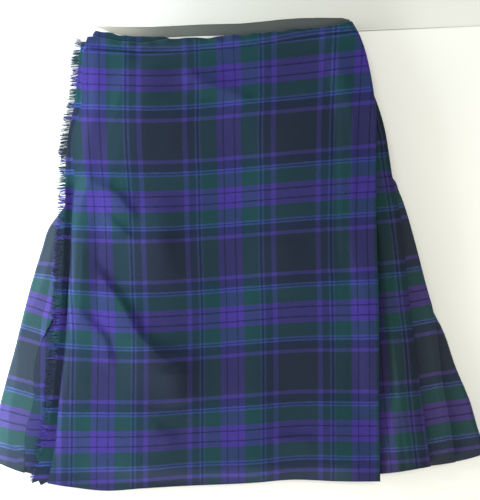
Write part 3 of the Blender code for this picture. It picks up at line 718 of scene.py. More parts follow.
class BackFolds:
    """Where the back's fold edges lie in each row: equal reveals between its two side edges. The paths carry
    (x, walls beneath, repeats across), and each reveal takes up the sett where the last one left it."""

    def __init__(self, rows):
        self.right, self.left = rows.edge(BACK_RIGHT), rows.edge(BACK_LEFT)
        self.reveal = (self.right - self.left) / BACK_REVEALS
        self.hidden = self.reveal * HIDDEN_SHARE
        self.slope = self.reveal * SLOPE_SHARE

    def edge(self, k):
        """Where fold k's edge lies in each row."""
        return self.right - (k + 1) * self.reveal

    def repeats(self, k, past):
        """Repeats across this far past reveal k's own start."""
        return k * REVEAL_STEP + past / SETT_ACROSS_MM

    def into_fold(self, k):
        """From the face into fold k and as far as its hidden end."""
        lip = self.edge(k) + LAYER / 2
        return [(lip, 0, self.repeats(k - 1, self.reveal)),
                (lip, 1, self.repeats(k - 1, self.reveal + PITCH)),
                (self.edge(k) + self.hidden, 1, self.repeats(k - 1, self.reveal + self.hidden))]

    def out_of_fold(self, k):
        """From fold k's hidden end, out past its edge and down to the next face."""
        return [(self.edge(k) + self.hidden, 2, self.repeats(k, -self.hidden)),
                (self.edge(k), 2, self.repeats(k, 0)),
                (self.edge(k) - self.slope, 0, self.repeats(k, self.slope))]


def path_grids(path, rows):
    """Grids of x, height and repeats from a path of (x for each row, walls beneath, repeats across)."""
    x, walls, u = (np.stack([np.broadcast_to(part, len(rows)) for part in parts], axis=1)
                   for parts in zip(*path))
    return x, level(walls), u


def lay_back(scene):
    """The back's knife pleats, from the fold beneath side pleat 3 to the fold beneath the left pleat."""
    rows = Rows(BACK_ROWS, *BACK)
    folds = BackFolds(rows)
    path = folds.out_of_fold(0)
    for k in range(1, BACK_REVEALS - 1):
        path += folds.into_fold(k)
        if k < BACK_REVEALS - 2:
            path += folds.out_of_fold(k)
    x, z, u = finer(BACK_STEP, *rounded(*path_grids(path, rows), radius=FOLD_RADIUS))
    y = rows.y(x)
    flat = across(folds.left + BACK_MARGIN, folds.right - BACK_MARGIN, 30)
    PILE.add(flat, rows.y(flat), np.full(flat.shape, level(2) + LAYER / 2))
    lay_sheet(scene, "back_pleats", "pleated_back", (x, y, z, u, back_v(x, y)))


def lay_side_pleat_3(scene):
    """From beneath side pleat 2, round the right side and along the surface to the back's first fold."""
    rows = Rows(SIDE_3_ROWS, *BACK)
    folds = BackFolds(rows)
    inner = rows.edge(SIDE_3_INNER)
    flap = level(3) + FLAP_LIFT * ease(0.3, 0.7, rows.down)
    low = np.full(len(rows), level(0))
    turn_x, turn_z = turned(folds.right, low, flap, SIDE_FOLD_REACH, 1, SIDE_FOLD_POINTS)
    share = np.linspace(0, 1, 21)[:-1]
    top_x = inner[:, None] + (turn_x[:, -1] - inner)[:, None] * share
    top_z = level(3) + (flap - level(3))[:, None] * ease(0.15, 0.8, share)
    into_fold = path_grids(folds.into_fold(0), rows)[:2]
    x, z = joined((top_x, top_z), (turn_x[:, ::-1], turn_z[:, ::-1]), into_fold)
    u = repeats_along(x, z, len(share) + SIDE_FOLD_POINTS // 2, SIDE_3_REPEAT)
    x, z, u = finer(SIDE_STEP, x, z, u)
    y = rows.y(x)
    upper = slice(0, int(np.argmax(x[0])) + 1)
    PILE.add(x[:, upper], y[:, upper], z[:, upper] + LAYER / 2)
    v = tilted_v(x, y, SIDE_BANDS[3], SIDE_TILTS[3])
    lay_sheet(scene, "side_pleat_third", "side_pleat_3", (x, y, z, u, v),
              SIDE_TARTAN_PAINTED_LIGHT)


def lay_side_pleat(scene, number):
    """One of the two pleats beside the apron: a hidden layer laid on the pile, a pressed fold at its edge,
    and a face on both, from its tucked-in top to the hem. Beside the apron, the first one's face is a soft
    maximum of what it lies on and a slope that rises from the apron's edge."""
    top_y, table, next_table, tuck, name, below, look = SIDE_PLEATS[number]
    rows = Rows(PLEAT_ROWS, lambda x: top_y + 0.0 * x, BACK[1])
    edge = rows.edge(table)
    inner = smooth(next_table, rows.y(edge)) - tuck
    bend = edge - scene.kilt_cloth.thickness / MM / 2 - PRESSED_REACH
    under_x = across(edge - np.minimum(HIDDEN_DEPTH, (edge - inner) * 0.7), bend, HIDDEN_COLUMNS)
    under_z = PILE.lay(under_x, rows.y(under_x), *PLEAT_REACH)
    face_x = across(bend, inner, SIDE_COLUMNS, 1.4)
    face_y = rows.y(face_x)
    face_z = PILE.lay(face_x, face_y, *PLEAT_REACH)
    past = edge[:, None] - face_x
    uneven = 1 + 0.5 * wave(face_x, face_y, 90, 40 + number)
    face_z = face_z + 0.7 * ease(0, 10, past) * ease(60, 20, past) * uneven
    if number == 1:
        least, slope, wide, soft = SIDE_1_RISE
        risen = least + slope * np.minimum(face_x - smooth(APRON_RIGHT, face_y), wide)
        face_z = soft * np.logaddexp(face_z / soft, risen / soft)
    x, z, at = pressed(under_x, under_z, face_x, face_z)
    y = rows.y(x)
    repeats = SIDE_2_REPEAT
    if number == 1:
        repeats = SIDE_1_REPEAT + (x[:, at] - smooth(SIDE_1_STRIPE, y[:, at])) / SETT_ACROSS_MM
    u = repeats_along(x, z, at, repeats, -1)
    v = tilted_v(x, y, SIDE_BANDS[number], SIDE_TILTS[number])
    lay_sheet(scene, name, f"side_pleat_{number}", (x, y, z, u, v), look)


def under_grid():
    """The under apron: flat beneath the left pleat, and risen to the height of that pleat's face beside its
    fold."""
    rows = Rows(UNDER_ROWS, *UNDER)
    fold = rows.edge(LEFT_PLEAT_EDGE)
    right, left = rows.edge(UNDER_RIGHT), rows.edge(UNDER_LEFT)
    x = np.concatenate([across(right, fold + 6, 110), across(fold + 6, fold - 1, 15)[:, 1:],
                        across(fold - 1, left, 6)[:, 1:]], axis=1)
    y = rows.y(x)
    past = x - fold[:, None]
    rise = ease(-1.0, 0.0, past) * ease(100, 40, past) * ease(-85, -125, y) * ease(-304, -280, y)
    return x, y, level(3) + UNDER_RISE * rise


def lay_under_apron(scene):
    """The under apron on the back. The pile takes it as flat until the left pleat lies on it."""
    x, y, z = under_grid()
    PILE.add(x, y, np.full(x.shape, level(3) + LAYER / 2))
    u = UNDER_STRIPE[1] + (x - UNDER_STRIPE[0]) / SETT_ACROSS_MM
    v = tilted_v(x, y, UNDER_BAND, UNDER_TILT)
    lay_sheet(scene, "apron_beneath", "under_apron", (x, y, z, u, v))


def lay_left_pleat(scene):
    """From the back's last fold along the surface, round the left side, and over the under apron to its own
    fold."""
    rows = Rows(PLEAT_ROWS, *BACK)
    folds = BackFolds(rows)
    edge = rows.edge(LEFT_PLEAT_EDGE)
    bend = edge - scene.kilt_cloth.thickness / MM / 2 - SHARP_REACH
    hidden_x = across(edge - LEFT_HIDDEN_DEPTH, bend, HIDDEN_COLUMNS)
    hidden_z = PILE.lay(hidden_x, rows.y(hidden_x), *PLEAT_REACH)
    face_x = across(folds.left + SIDE_FOLD_REACH, bend, LEFT_COLUMNS)
    face_z = PILE.rest(face_x, rows.y(face_x), *PLEAT_REACH)
    low = np.full(len(rows), level(0))
    side_x, side_z = turned(folds.left, low, face_z[:, 0], SIDE_FOLD_REACH, -1, SIDE_FOLD_POINTS)
    shown_x, shown_z = joined((side_x[:, 6:-1], side_z[:, 6:-1]), (face_x, face_z))
    PILE.add(shown_x, rows.y(shown_x), shown_z + LAYER / 2)
    back_x, back_z, _ = path_grids(folds.out_of_fold(BACK_REVEALS - 2), rows)
    turn_x, turn_z = turned(bend + SHARP_REACH, hidden_z[:, -1], face_z[:, -1], SHARP_REACH, 1)
    x, z = joined((back_x, back_z), (side_x, side_z), (face_x[:, 1:-1], face_z[:, 1:-1]),
                  (turn_x[:, ::-1], turn_z[:, ::-1]), (hidden_x[:, -2::-1], hidden_z[:, -2::-1]))
    at = back_x.shape[1] + side_x.shape[1] + face_x.shape[1] - 3
    repeats = LEFT_REPEAT + (x[:, at] - smooth(LEFT_STRIPE, rows.y(x)[:, at])) / SETT_ACROSS_MM
    x, z, u = finer(SIDE_STEP, x, z, repeats_along(x, z, at, repeats))
    y = rows.y(x)
    v = tilted_v(x, y, LEFT_BAND, LEFT_TILT, LEFT_BOW)
    v = v + (LEFT_EASE * np.maximum(x + 272, 0) * ease(-70, -15, y)
             - LEFT_DROP * ease(-283, -300, x) * ease(-210, -265, y)) / SETT_DOWN_MM
    lay_sheet(scene, "left_fold", "left_pleat", (x, y, z, u, v),
              LEFT_TARTAN_PAINTED_LIGHT)
    under_x, under_y, under_z = under_grid()
    PILE.add(under_x, under_y, under_z + LAYER / 2)


def lay_over_apron(scene):
    """The front panel: its deep pleat turned under at the right, and a face with creases, fullness and a
    soft hem, which are free to rise away from its edges and its seam."""
    folds = scene.kilt_folds
    rows = Rows(FRONT_ROWS, *FRONT)
    left, edge = rows.edge(APRON_LEFT), rows.edge(APRON_RIGHT)
    bend = edge - scene.kilt_cloth.thickness / MM / 2 - PRESSED_REACH
    under_x = across(edge - DEEP_PLEAT_DEPTH, bend, HIDDEN_COLUMNS)
    under_z = PILE.lay(under_x, rows.y(under_x), *TURN_REACH)
    share = np.concatenate([np.linspace(0, 0.04, 7), 0.04 + 0.92 * np.linspace(0, 1, 112)[1:],
                            np.linspace(0.96, 1, 14)[1:]])
    face_x = bend[:, None] + (left - bend)[:, None] * share
    face_y = rows.y(face_x)
    inward = face_x - left[:, None]
    free = ease(0, FREE_EDGE + FREE_EDGE_WAIST * ease(30, 120, face_y), inward)
    free = free * ease(0, FREE_FOLD, bend[:, None] - face_x) * ease(0, FREE_SEAM, rows.down)[:, None]
    face_z = PILE.rest(face_x, face_y, *FACE_REACH, FACE_SOFTEN)
    face_z = face_z + free * (swell(face_x, face_y) + folds.crease_depth / MM * creases(face_x, face_y)
                              + folds.ripple / MM * (1 + wave(face_x, face_y, 95, 5)))
    face_z = face_z + EDGE_ROLL * ease(130, 60, face_y) * ease(*ROLL_START, inward) * ease(*ROLL_END, inward)
    face_z = face_z + SEAM_LIFT * ease(*SEAM_ROWS, rows.down)[:, None]
    PILE.add(face_x, face_y, face_z + LAYER / 2)
    x, z, at = pressed(under_x, under_z, face_x, face_z)
    y = rows.y(x)
    turned_u = repeats_along(x, z, at, front_u(x[:, at], y[:, at]), -1)
    u = np.where(np.arange(x.shape[1]) < at, turned_u, front_u(x, y))
    lay_sheet(scene, "apron_on_top", "over_apron", (x, y, z, u, front_v(x, y)))


def leaned(x):
    """Where a point of the band's top edge comes down to at its seam: its ends follow the slope of the
    hips."""
    return x + np.interp(x, (FRONT_TOP[0][0], FRONT_TOP[-1][0]), BAND_LEAN)


def band_stations():
    """The band's run in one length: along the over apron, round the right side, along the back, round the
    left side and along the under apron. Rows are outer x, inner x, outer level, inner level, top edge and
    seam. Round a side both edges go from one layer's to the next one's."""
    front = (edge_of(FRONT_TOP), edge_of(FRONT_SEAM))
    back, under = ((edge_of(table), edge_of(table, -BAND_DEPTH)) for table in (BACK_TOP, UNDER_TOP))

    def stretch(outer, inner, outer_level, inner_level, edges, others, share=0.0, seam_share=0.0):
        """Rows whose top edge and seam are these shares of the way from one layer's to another's."""
        top, seam = ((1 - part) * one(at) + part * other(at) for one, other, at, part in
                     zip(edges, others, (outer, leaned(outer)), (share, seam_share)))
        return outer, inner, outer_level + 0 * outer, inner_level + 0 * outer, top, seam

    half_turn = np.linspace(np.pi / 2, -np.pi / 2, 13)[1:-1]
    out, up = np.cos(half_turn), np.sin(half_turn)
    share = (1 - up) / 2
    lower = np.clip(2 * share - 1, 0, 1)
    (right_out, right_in), (left_out, left_in) = BAND_REACH_RIGHT, BAND_REACH_LEFT
    along_front = np.linspace(BAND_START, BAND_RIGHT, 200)
    along_back = np.linspace(BAND_RIGHT, BAND_LEFT, 70)
    along_under = np.linspace(BAND_LEFT, BAND_END, 90)
    return [np.concatenate(column) for column in zip(
        stretch(along_front, along_front, 6, 5, front, front),
        stretch(BAND_RIGHT + right_out * out, BAND_RIGHT + right_in * out, 3 + 3 * up, 3.5 + 1.5 * up,
                front, back, share, lower),
        stretch(along_back, along_back, 0, 2, back, back),
        stretch(BAND_LEFT - left_out * out, BAND_LEFT - left_in * out, 2 - 2 * up, 2.5 - 0.5 * up,
                back, under, share, share),
        stretch(along_under, along_under, 4, 3, under, under))]


def band_v(seam, y):
    """Repeats down the waistband, whose strip is cut on its own and counts from its seam."""
    height, repeats = BAND_PAIR
    return repeats + (seam + height - y) / SETT_DOWN_MM


def lay_waistband(scene):
    """A bound strip folded over the top edge: at each station it rises on the outside from the seam to the
    top, goes over in a half circle, and comes down on the inside. The front's outside is a little
    gathered."""
    outer_x, inner_x, outer_level, inner_level, top, seam = band_stations()
    outer_z, inner_z = level(outer_level), level(inner_level)
    radius = (outer_z - inner_z) / 2
    leg, turn = np.linspace(0, 1, 9)[:, None], np.linspace(0, np.pi, 9)[1:-1, None]
    crown = top - LAYER / 2 - np.abs(radius)
    x, z = (np.concatenate([outer + 0 * leg, (outer + inner) / 2 + (outer - inner) / 2 * np.cos(turn),
                            inner + 0 * leg]) for outer, inner in ((outer_x, inner_x), (outer_z, inner_z)))
    y = np.concatenate([seam + (crown - seam) * leg, crown + np.abs(radius) * np.sin(turn),
                        crown + (seam - crown) * leg])
    front = ease(5.2, 6.0, outer_level) * np.concatenate([np.ones(12), np.zeros(13)])[:, None]
    gather = scene.kilt_folds.pucker / MM * (0.6 + wave(outer_x, 0 * outer_x, 17, 3))
    high = (y - seam) / (top - seam)
    arch = BAND_ARCH * np.sin(np.pi * np.clip(high, 0, 1) ** 1.3)
    z = z + front * (ease(0.25, 1.0, high) * gather + arch)
    high = ease(0.25, 1.0, high)
    y = y + np.maximum(front, ease(3.2, 4.0, outer_level)) * high * 1.5 * wave(outer_x, 0 * outer_x, 27, 8)
    x = x + (leaned(outer_x) - outer_x) * (top - y) / (top - seam)
    stations = np.linspace(-190, 150, 40)[None, :] + np.zeros((4, 1))
    PILE.add(stations, smooth(BACK_TOP, stations) - np.linspace(0, BAND_DEPTH, 4)[:, None],
             np.full(stations.shape, level(4) + LAYER / 2))
    lay_sheet(scene, "bound_waist", "waistband", (x, y, z, front_u(x, y), band_v(seam, y)))


def strip_height(x, y, lying):
    """The woven strip's height: it rises from the apron's edge to its own outer edge, where its threads
    start."""
    inner, outer = smooth(APRON_LEFT, y) - 1.0, smooth(STRIP_OUTER, y)
    return lying + FRINGE_RISE * ease(0, 1, (inner - x) / (inner - outer))


def threads(fringe):
    """The loose threads, each a four-sided tube from the woven strip's outer edge. Its line goes from root
    to tip with a sideways curl and a kink, which are sine waves along it, and sinks from the strip's height
    to its tip's."""
    draw = np.random.default_rng(THREAD_SEED)
    count, rings = fringe.threads, THREAD_RINGS
    y = np.sort(draw.uniform(FRINGE_END, FRINGE_TOP - 1, count))
    bunch = sum(0.9 * np.sin(y / pitch + k) for k, pitch in enumerate(BUNCH_PITCHES))
    loose = ease(-20, 40, y)
    root = np.stack([smooth(STRIP_OUTER, y) + draw.uniform(0.4, 2.4, count), y], axis=1)
    length = draw.uniform(*THREAD_LENGTHS, count)
    tip_x = root[:, 0] + (smooth(THREAD_TIPS, y) - root[:, 0]) * length
    tip = np.stack([tip_x, y + (bunch * 0.9 + draw.normal(0, 0.6, count)) * (0.5 + 0.5 * loose) - 0.6
                    + TOP_FAN * ease(FRINGE_TOP - 12, FRINGE_TOP, y)], axis=1)
    t = np.linspace(0, 1, rings)
    curl, kink = draw.normal(0, 0.5, (count, 1)), draw.normal(0, 0.3, (count, 1))
    sway = curl * np.sin(np.pi * t) + kink * np.sin(2.6 * np.pi * t + draw.uniform(0, 6, (count, 1)))
    line = root[:, None] + (tip - root)[:, None] * t[:, None]
    line[..., 1] += sway
    line[..., 0] += 0.4 * kink * np.sin(3.1 * np.pi * t)
    root_z = strip_height(root[:, 0], y, PILE.rest(root[:, 0], y, 6.0, 8.0, 4.0)) + 0.5
    lying = PILE.rest(np.minimum(line[..., 0], root[:, :1]), line[..., 1], 1.5, 3.0, 2.0) - LAYER / 2 + 0.2
    fall = root_z[:, None] - THREAD_FALL * t ** 1.6
    z = np.maximum(fall, lying) + draw.uniform(0, 0.9, (count, 1)) * np.sin(np.pi * t * 0.9)
    radius = fringe.thread_radius / MM * draw.uniform(0.75, 1.1, (count, 1)) * (1 - 0.35 * t)
    angle = np.arange(4) * np.pi / 2
    shape = (count, rings, 4)
    points = np.stack([np.broadcast_to(line[..., 0, None], shape),
                       line[..., 1, None] + radius[..., None] * np.cos(angle),
                       z[..., None] + radius[..., None] * np.sin(angle)], axis=-1)
    number = np.arange(count * rings * 4).reshape(shape)
    around = np.roll(number, -1, axis=2)
    sides = np.stack([number[:, :-1], around[:, :-1], around[:, 1:], number[:, 1:]], axis=-1)
    quads = np.concatenate([sides.reshape(-1, 4), number[:, 0, ::-1], number[:, -1]])
    u = np.broadcast_to(draw.uniform(0, 1, (count, 1, 1)), shape)
    v = front_v(root[:, 0], y - smooth(FRINGE_SHIFTS, y)) + draw.normal(0, 0.005, count)
    v = np.broadcast_to(v[:, None, None], shape)
    return points.reshape(-1, 3), quads, np.stack([u, v], axis=-1).reshape(-1, 2)


def lay_fringe(scene):
    """The woven strip, a narrow wall with a few rows of weft pulled loose, and its threads. The strip's cut
    size leaves out the points of its lower end."""
    y = np.linspace(FRINGE_TOP, FRINGE_END, STRIP_ROWS)
    share = np.linspace(0, 1, 11)
    x = smooth(STRIP_INNER, y)[:, None] * (1 - share) + smooth(STRIP_OUTER, y)[:, None] * share
    grid_y = y[:, None] + ease(-285, FRINGE_END, y)[:, None] * np.interp(share, *zip(*STRIP_END))
    inner_z, outer_z = PILE.rest(x[:, 0], y, 8.0, 10.0), PILE.rest(x[:, -1], y, 6.0, 8.0)
    flat_z = inner_z[:, None] * (1 - share) + outer_z[:, None] * share
    z = strip_height(x, grid_y, flat_z)
    v = front_v(x, grid_y - smooth(FRINGE_SHIFTS, grid_y))
    strip = shell(x, grid_y, z, x / SETT_ACROSS_MM, v, scene.kilt_cloth.thickness / MM)
    strip_finish = tartan(scene, FRINGE_SHARE, *STRIP_TARTAN)
    # The loose threads' finish carries painted shade through its darker tone.
    shaded_thread_finish = tartan(scene, FRINGE_SHARE, *THREAD_TARTAN_PAINTED_SHADE)
    tubes = threads(scene.kilt_fringe)
    loose = add_piece("fringe_threads", "apron_fringe", shaded_thread_finish, [tubes])
    made = add_piece("fringe_strip", "apron_fringe", strip_finish, [strip])
    PILE.add(x, grid_y, flat_z + LAYER / 2)


# ---------------------------------------------------------------- finishes


class Number:
    """A socket that carries a number: an expression on it adds its Math nodes."""

    def __init__(self, build, socket):
        self.build, self.socket = build, socket

    def math(self, operation, *others):
        """A Math node on this number and others."""
        sockets = dict(enumerate((self, *others)))
        made = self.build.node("ShaderNodeMath", {"operation": operation}, sockets)
        return Number(self.build, made.outputs[0])

    def __add__(self, other):
        return self.math("ADD", other)

    __radd__ = __add__

    def __mul__(self, other):
        return self.math("MULTIPLY", other)

    __rmul__ = __mul__

    def __sub__(self, other):
        return self.math("SUBTRACT", other)

    def __rsub__(self, other):
        return self * -1.0 + other


class Build:
    """A material's nodes, made through one method."""

    def __init__(self, name):
        self.material = bpy.data.materials.new(name)
        self.material.use_nodes = True
        self.tree = self.material.node_tree
        self.shader = self.tree.nodes["Principled BSDF"]
        self.spot = self.node("ShaderNodeTexCoord").outputs["Object"]

    def node(self, kind, settings=None, sockets=None):
        """A node of one kind: its settings are made first, and then each socket gets a value or a link."""
        made = self.tree.nodes.new(kind)
        for name, value in (settings or {}).items():
            if name == "stops":
                ramp = made.color_ramp.elements
                ramp.remove(ramp[1])
                for k, (start, colour) in enumerate(value):
                    stop = ramp.new(start) if k else ramp[0]
                    stop.position, stop.color = start, (*colour, 1.0)
            elif name == "interpolation":
                made.color_ramp.interpolation = value
            else:
                setattr(made, name, value)
        for name, value in (sockets or {}).items():
            self.put(made.inputs[name], value)
        return made

    def put(self, socket, value):
        """Links a socket to a value's own socket, or sets it to a constant."""
        if isinstance(value, Number):
            self.tree.links.new(value.socket, socket)
        elif isinstance(value, bpy.types.NodeSocket):
            self.tree.links.new(value, socket)
        else:
            socket.default_value = value

    def mix(self, kind, factor, first, second):
        """Two colours mixed in one way."""
        made = self.node("ShaderNodeMix", {"data_type": "RGBA", "blend_type": kind})
        for name, value in (("Factor_Float", factor), ("A_Color", first), ("B_Color", second)):
            self.put(next(s for s in made.inputs if s.identifier == name), value)
        return next(s for s in made.outputs if s.identifier == "Result_Color")

    def noise(self, scale, detail):
        """Noise through the object's own space, from 0 to 1 and about a half on average."""
        sockets = {"Vector": self.spot, "Scale": scale, "Detail": detail}
        return Number(self, self.node("ShaderNodeTexNoise", sockets=sockets).outputs[0])

    def ramp(self, stops, interpolation, at):
        """The colour that a ramp has at a number."""
        settings = {"stops": stops, "interpolation": interpolation}
        return self.node("ShaderNodeValToRGB", settings, {0: at}).outputs[0]

    def done(self, values):
        """The material, once its shader's sockets have these values."""
        for name, value in values.items():
            self.put(self.shader.inputs[name], value)
        return self.material


SCREEN_GAMMA = 2.2
# Noise as (scale, detail): the threads' own unevenness, the cloth's clouds and the surface's. Then how high
# the twill stands, in metres, and what all wool shares.
FUZZ = (420.0, 2.0)
CLOUDS = (9.0, 3.0)
SURFACE_CLOUDS = (3.0, 2.0)
TWILL_HEIGHT = 0.0004
WOOL = {"Specular IOR Level": 0.08, "Sheen Roughness": 0.5, "Sheen Tint": (0.66, 0.8, 1.0, 1.0)}


def linear(colour):
    """A colour as a screen shows it, turned into the light that it stands for."""
    return [c / 12.92 if c <= 0.04045 else ((c + 0.055) / 1.055) ** 2.4 for c in colour]


def stops_of(sett, dyes):
    """Ramp stops from a sett table: each colour starts where the one before it ends."""
    starts = [0.0] + [end for end, _ in sett[:-1]]
    return [(start, getattr(dyes, name)) for start, (_, name) in zip(starts, sett)]


def tartan(scene, across_share, name, tone, sheen):
    """Tartan on the cloth's own UV map, which counts repeats. Each way of the cloth is folded at the middles
    of its purple bands and its ground and takes its stripes from a ramp, at places that noise moves a little.
    The two ways meet thread over thread in twill lines, which mix them and are raised a little. The colours
    are mixed as a screen shows them, a gamma turns the result into light, and the tone and a cloudy noise
    multiply it. The tone is painted light on the second and third side pleats and the left pleat, and painted
    shade on the first side pleat and the loose threads; on the other pieces it is 1."""
    build, dyes, weave = Build(name), scene.kilt_dyes, scene.kilt_cloth
    place = build.node("ShaderNodeUVMap", {"uv_map": "cloth"}).outputs[0]
    place = build.node("ShaderNodeSeparateXYZ", sockets={0: place})
    fuzzy = build.noise(*FUZZ)
    ways = []
    for k, (sett, size) in enumerate(((SETT_ACROSS, SETT_ACROSS_MM), (SETT_DOWN, SETT_DOWN_MM))):
        repeats = Number(build, place.outputs[k]) + (fuzzy - 0.5) * (weave.waver / MM / size)
        stripes = build.ramp(stops_of(sett, dyes), "CONSTANT", repeats.math("PINGPONG", 0.5) * 2.0)
        ways.append((stripes, repeats * (size / weave.pitch * MM)))
    (down, down_threads), (over, over_threads) = ways
    twill = ((down_threads + over_threads) * (math.pi / 2)).math("SINE")
    mixed = build.mix("MIX", twill * weave.contrast + across_share, down, over)
    cloth = build.node("ShaderNodeGamma", sockets={"Color": mixed, "Gamma": SCREEN_GAMMA}).outputs[0]
    shade = build.noise(*CLOUDS) * weave.mottle + fuzzy * (weave.mottle * 1.2) + (1.0 - weave.mottle * 1.1)
    # Here the tone paints light on some pieces and shade on others.
    parts = {k: shade * part for k, part in enumerate(tone)}
    shade = build.node("ShaderNodeCombineColor", sockets=parts).outputs[0]
    bump = build.node("ShaderNodeBump", sockets={
        "Height": twill * 0.5 + fuzzy, "Strength": weave.relief, "Distance": TWILL_HEIGHT})
    return build.done({
        "Base Color": build.mix("MULTIPLY", 1.0, cloth, shade), "Normal": bump.outputs[0],
        "Roughness": fuzzy * 0.2 + 0.72, "Sheen Weight": weave.sheen * sheen, **WOOL})


def plain(name, colour, roughness):
    """A finish of one colour, which a soft noise makes a little darker in places."""
    build = Build(name)
    pale, dark = ((*linear([c * part for c in colour]), 1.0) for part in (1.0, 0.97))
    return build.done({"Base Color": build.mix("MIX", build.noise(*SURFACE_CLOUDS) * 0.5, pale, dark),
                       "Roughness": roughness})


def graded(name, low, high, colours, roughness):
    """A finish whose colour changes from one of these to the next between two x, in metres."""
    build = Build(name)
    place = build.node("ShaderNodeSeparateXYZ", sockets={0: build.spot})
    share = (Number(build, place.outputs[0]) - low) * (1 / (high - low))
    stops = [(k / (len(colours) - 1), linear([c / 255 for c in colour])) for k, colour in enumerate(colours)]
    return build.done({"Base Color": build.ramp(stops, "EASE", share), "Roughness": roughness})


def add_stage(name, points, quads, finish):
    """One flat object of the stage."""
    mesh = bpy.data.meshes.new(name)
    mesh.from_pydata(points, [], quads)
    mesh.materials.append(finish)
    add_object(name, mesh)


def ribbon(name, upper, lower, height, finish):
    """A flat strip of the stage between two lines given as (x, y), this high above the surface."""
    x = np.linspace(upper[0][0], upper[-1][0], RIBBON_POINTS)
    edges = [np.interp(x, *np.transpose(line)) for line in (upper, lower)]
    points = [(at * MM, y * MM, height) for edge in edges for at, y in zip(x, edge)]
    quads = [(k, RIBBON_POINTS + k, RIBBON_POINTS + k + 1, k + 1) for k in range(RIBBON_POINTS - 1)]
    add_stage(name, points, quads, finish)


def lay_background(scene):
    """The pale surface, and what shows on it beyond the waist: a painted shadow, a board with painted shade
    and the board's joint.
    """
    far = SURFACE_HALF
    corners = [(-far, -far, 0), (far, -far, 0), (far, far, 0), (-far, far, 0)]
    add_stage("pale_surface", corners, [(0, 1, 2, 3)], plain("pale_surface", scene.kilt_stage.surface, 0.55))
    for name, upper, lower, height, span, colours, roughness in BACKGROUND:
        ribbon(name, upper, lower, height, graded(name, *span, colours, roughness))


def light_room(scene):
    """An even light from all round, and the lamps, each turned from its place towards its aim."""
    scene.world = bpy.data.worlds.new("room")
    scene.world.use_nodes = True
    sockets = scene.world.node_tree.nodes["Background"].inputs
    sockets["Color"].default_value = ROOM_COLOUR
    sockets["Strength"].default_value = scene.kilt_stage.air
    for name, place, aim, size, colour in LIGHTS:
        lamp = bpy.data.lights.new(name, "AREA")
        lamp.shape = "RECTANGLE"
        lamp.size, lamp.size_y = size
        lamp.energy, lamp.color = getattr(scene.kilt_stage, name), colour
        light = add_object(name, lamp)
        light.location = place
        light.rotation_euler = (Vector(aim) - Vector(place)).to_track_quat("-Z", "Y").to_euler()
        light.visible_camera = False


def add_camera(scene):
    """A camera above its aim, whose lens takes in the picture's width at the aim's distance."""
    stage = scene.kilt_stage
    lens = bpy.data.cameras.new("camera")
    lens.sensor_fit = "HORIZONTAL"
    lens.sensor_width = SENSOR_WIDTH
    lens.lens = SENSOR_WIDTH * stage.distance / stage.width
    scene.camera = add_object("camera", lens)
    back = Vector((0.0, -math.sin(stage.tilt), math.cos(stage.tilt)))
    scene.camera.location = Vector(CAMERA_AIM) + back * stage.distance
    scene.camera.rotation_euler = (stage.tilt, 0.0, 0.0)


# ---------------------------------------------------------------- settings


def length(name, description, default, low=0.0):
    """A setting in metres."""
    return FloatProperty(name=name, description=description, default=default, min=low, precision=5,
                         subtype="DISTANCE", unit="LENGTH")


def share(name, description, default, high=1.0):
    """A setting that is a share or a strength."""
    return FloatProperty(name=name, description=description, default=default, min=0.0, max=high,
                         subtype="FACTOR")


def power(name, description, default):
    """A light's setting, in watts."""
    return FloatProperty(name=name, description=description, default=default, min=0.0, subtype="POWER",
                         unit="POWER")


def dye(name, description, *default):
    """A colour as a screen shows it, from three parts out of 255."""
    return FloatVectorProperty(name=name, description=description, default=[c / 255 for c in default],
                               min=0.0, max=1.0, size=3, subtype="COLOR_GAMMA")


class KiltCloth(bpy.types.PropertyGroup):
    """The cloth's wall, weave and sheen"""
    thickness: length("Thickness", "Thickness of the cloth's wall", 0.001)
    pitch: length("Thread pitch", "Distance between two neighbouring threads", 0.0006, 0.0002)
    contrast: share("Twill contrast", "How far the twill lines show one way of the cloth or the other", 0.16)
    relief: share("Twill relief", "Strength of the raised twill lines", 0.35)
    mottle: share("Mottle", "How far the cloth's tone varies", 0.22)
    waver: length("Waver", "How far the threads at a stripe's edge stray", 0.0026)
    sheen: share("Sheen", "The wool's soft sheen at low angles", 0.2)


class KiltDyes(bpy.types.PropertyGroup):
    """The colours of the tartan's stripes"""
    ground: dye("Ground", "The wide dark ground between the bands", 32, 39.5, 53)
    dark: dye("Dark", "The dark stripe beside the ground", 28, 38.5, 60)
    green: dye("Green", "The green bands", 26, 59, 63)
    purple: dye("Purple", "The wide purple bands", 60.5, 46.5, 123)
    line: dye("Line", "The two fine lines in a purple band", 27, 28, 73)
    violet: dye("Violet", "The narrow purple stripe", 57, 49, 113)
    blue: dye("Blue", "The pair of light blue lines that run across", 51, 70, 120)
    navy: dye("Navy", "The line between the light blue ones", 27, 41, 96)
    steel: dye("Steel", "The pair of blue lines that run down", 48, 62, 94)
    ink: dye("Ink", "The line between the blue ones that run down", 17, 27, 71)


class KiltFolds(bpy.types.PropertyGroup):
    """How far the cloth is creased and gathered"""
    crease_depth: length("Crease depth", "Height of a crease whose table says 1", 0.001)
    ripple: length("Ripple", "Height of the over apron's uneven fullness", 0.0008)
    pucker: length("Pucker", "How far the waistband is gathered", 0.0012)


class KiltFringe(bpy.types.PropertyGroup):
    """The fringe's threads"""
    threads: IntProperty(name="Threads", description="Loose threads in the fringe", default=1150, min=50,
                         max=3000)
    thread_radius: length("Thread radius", "Radius of a thread at its root", 0.00042)


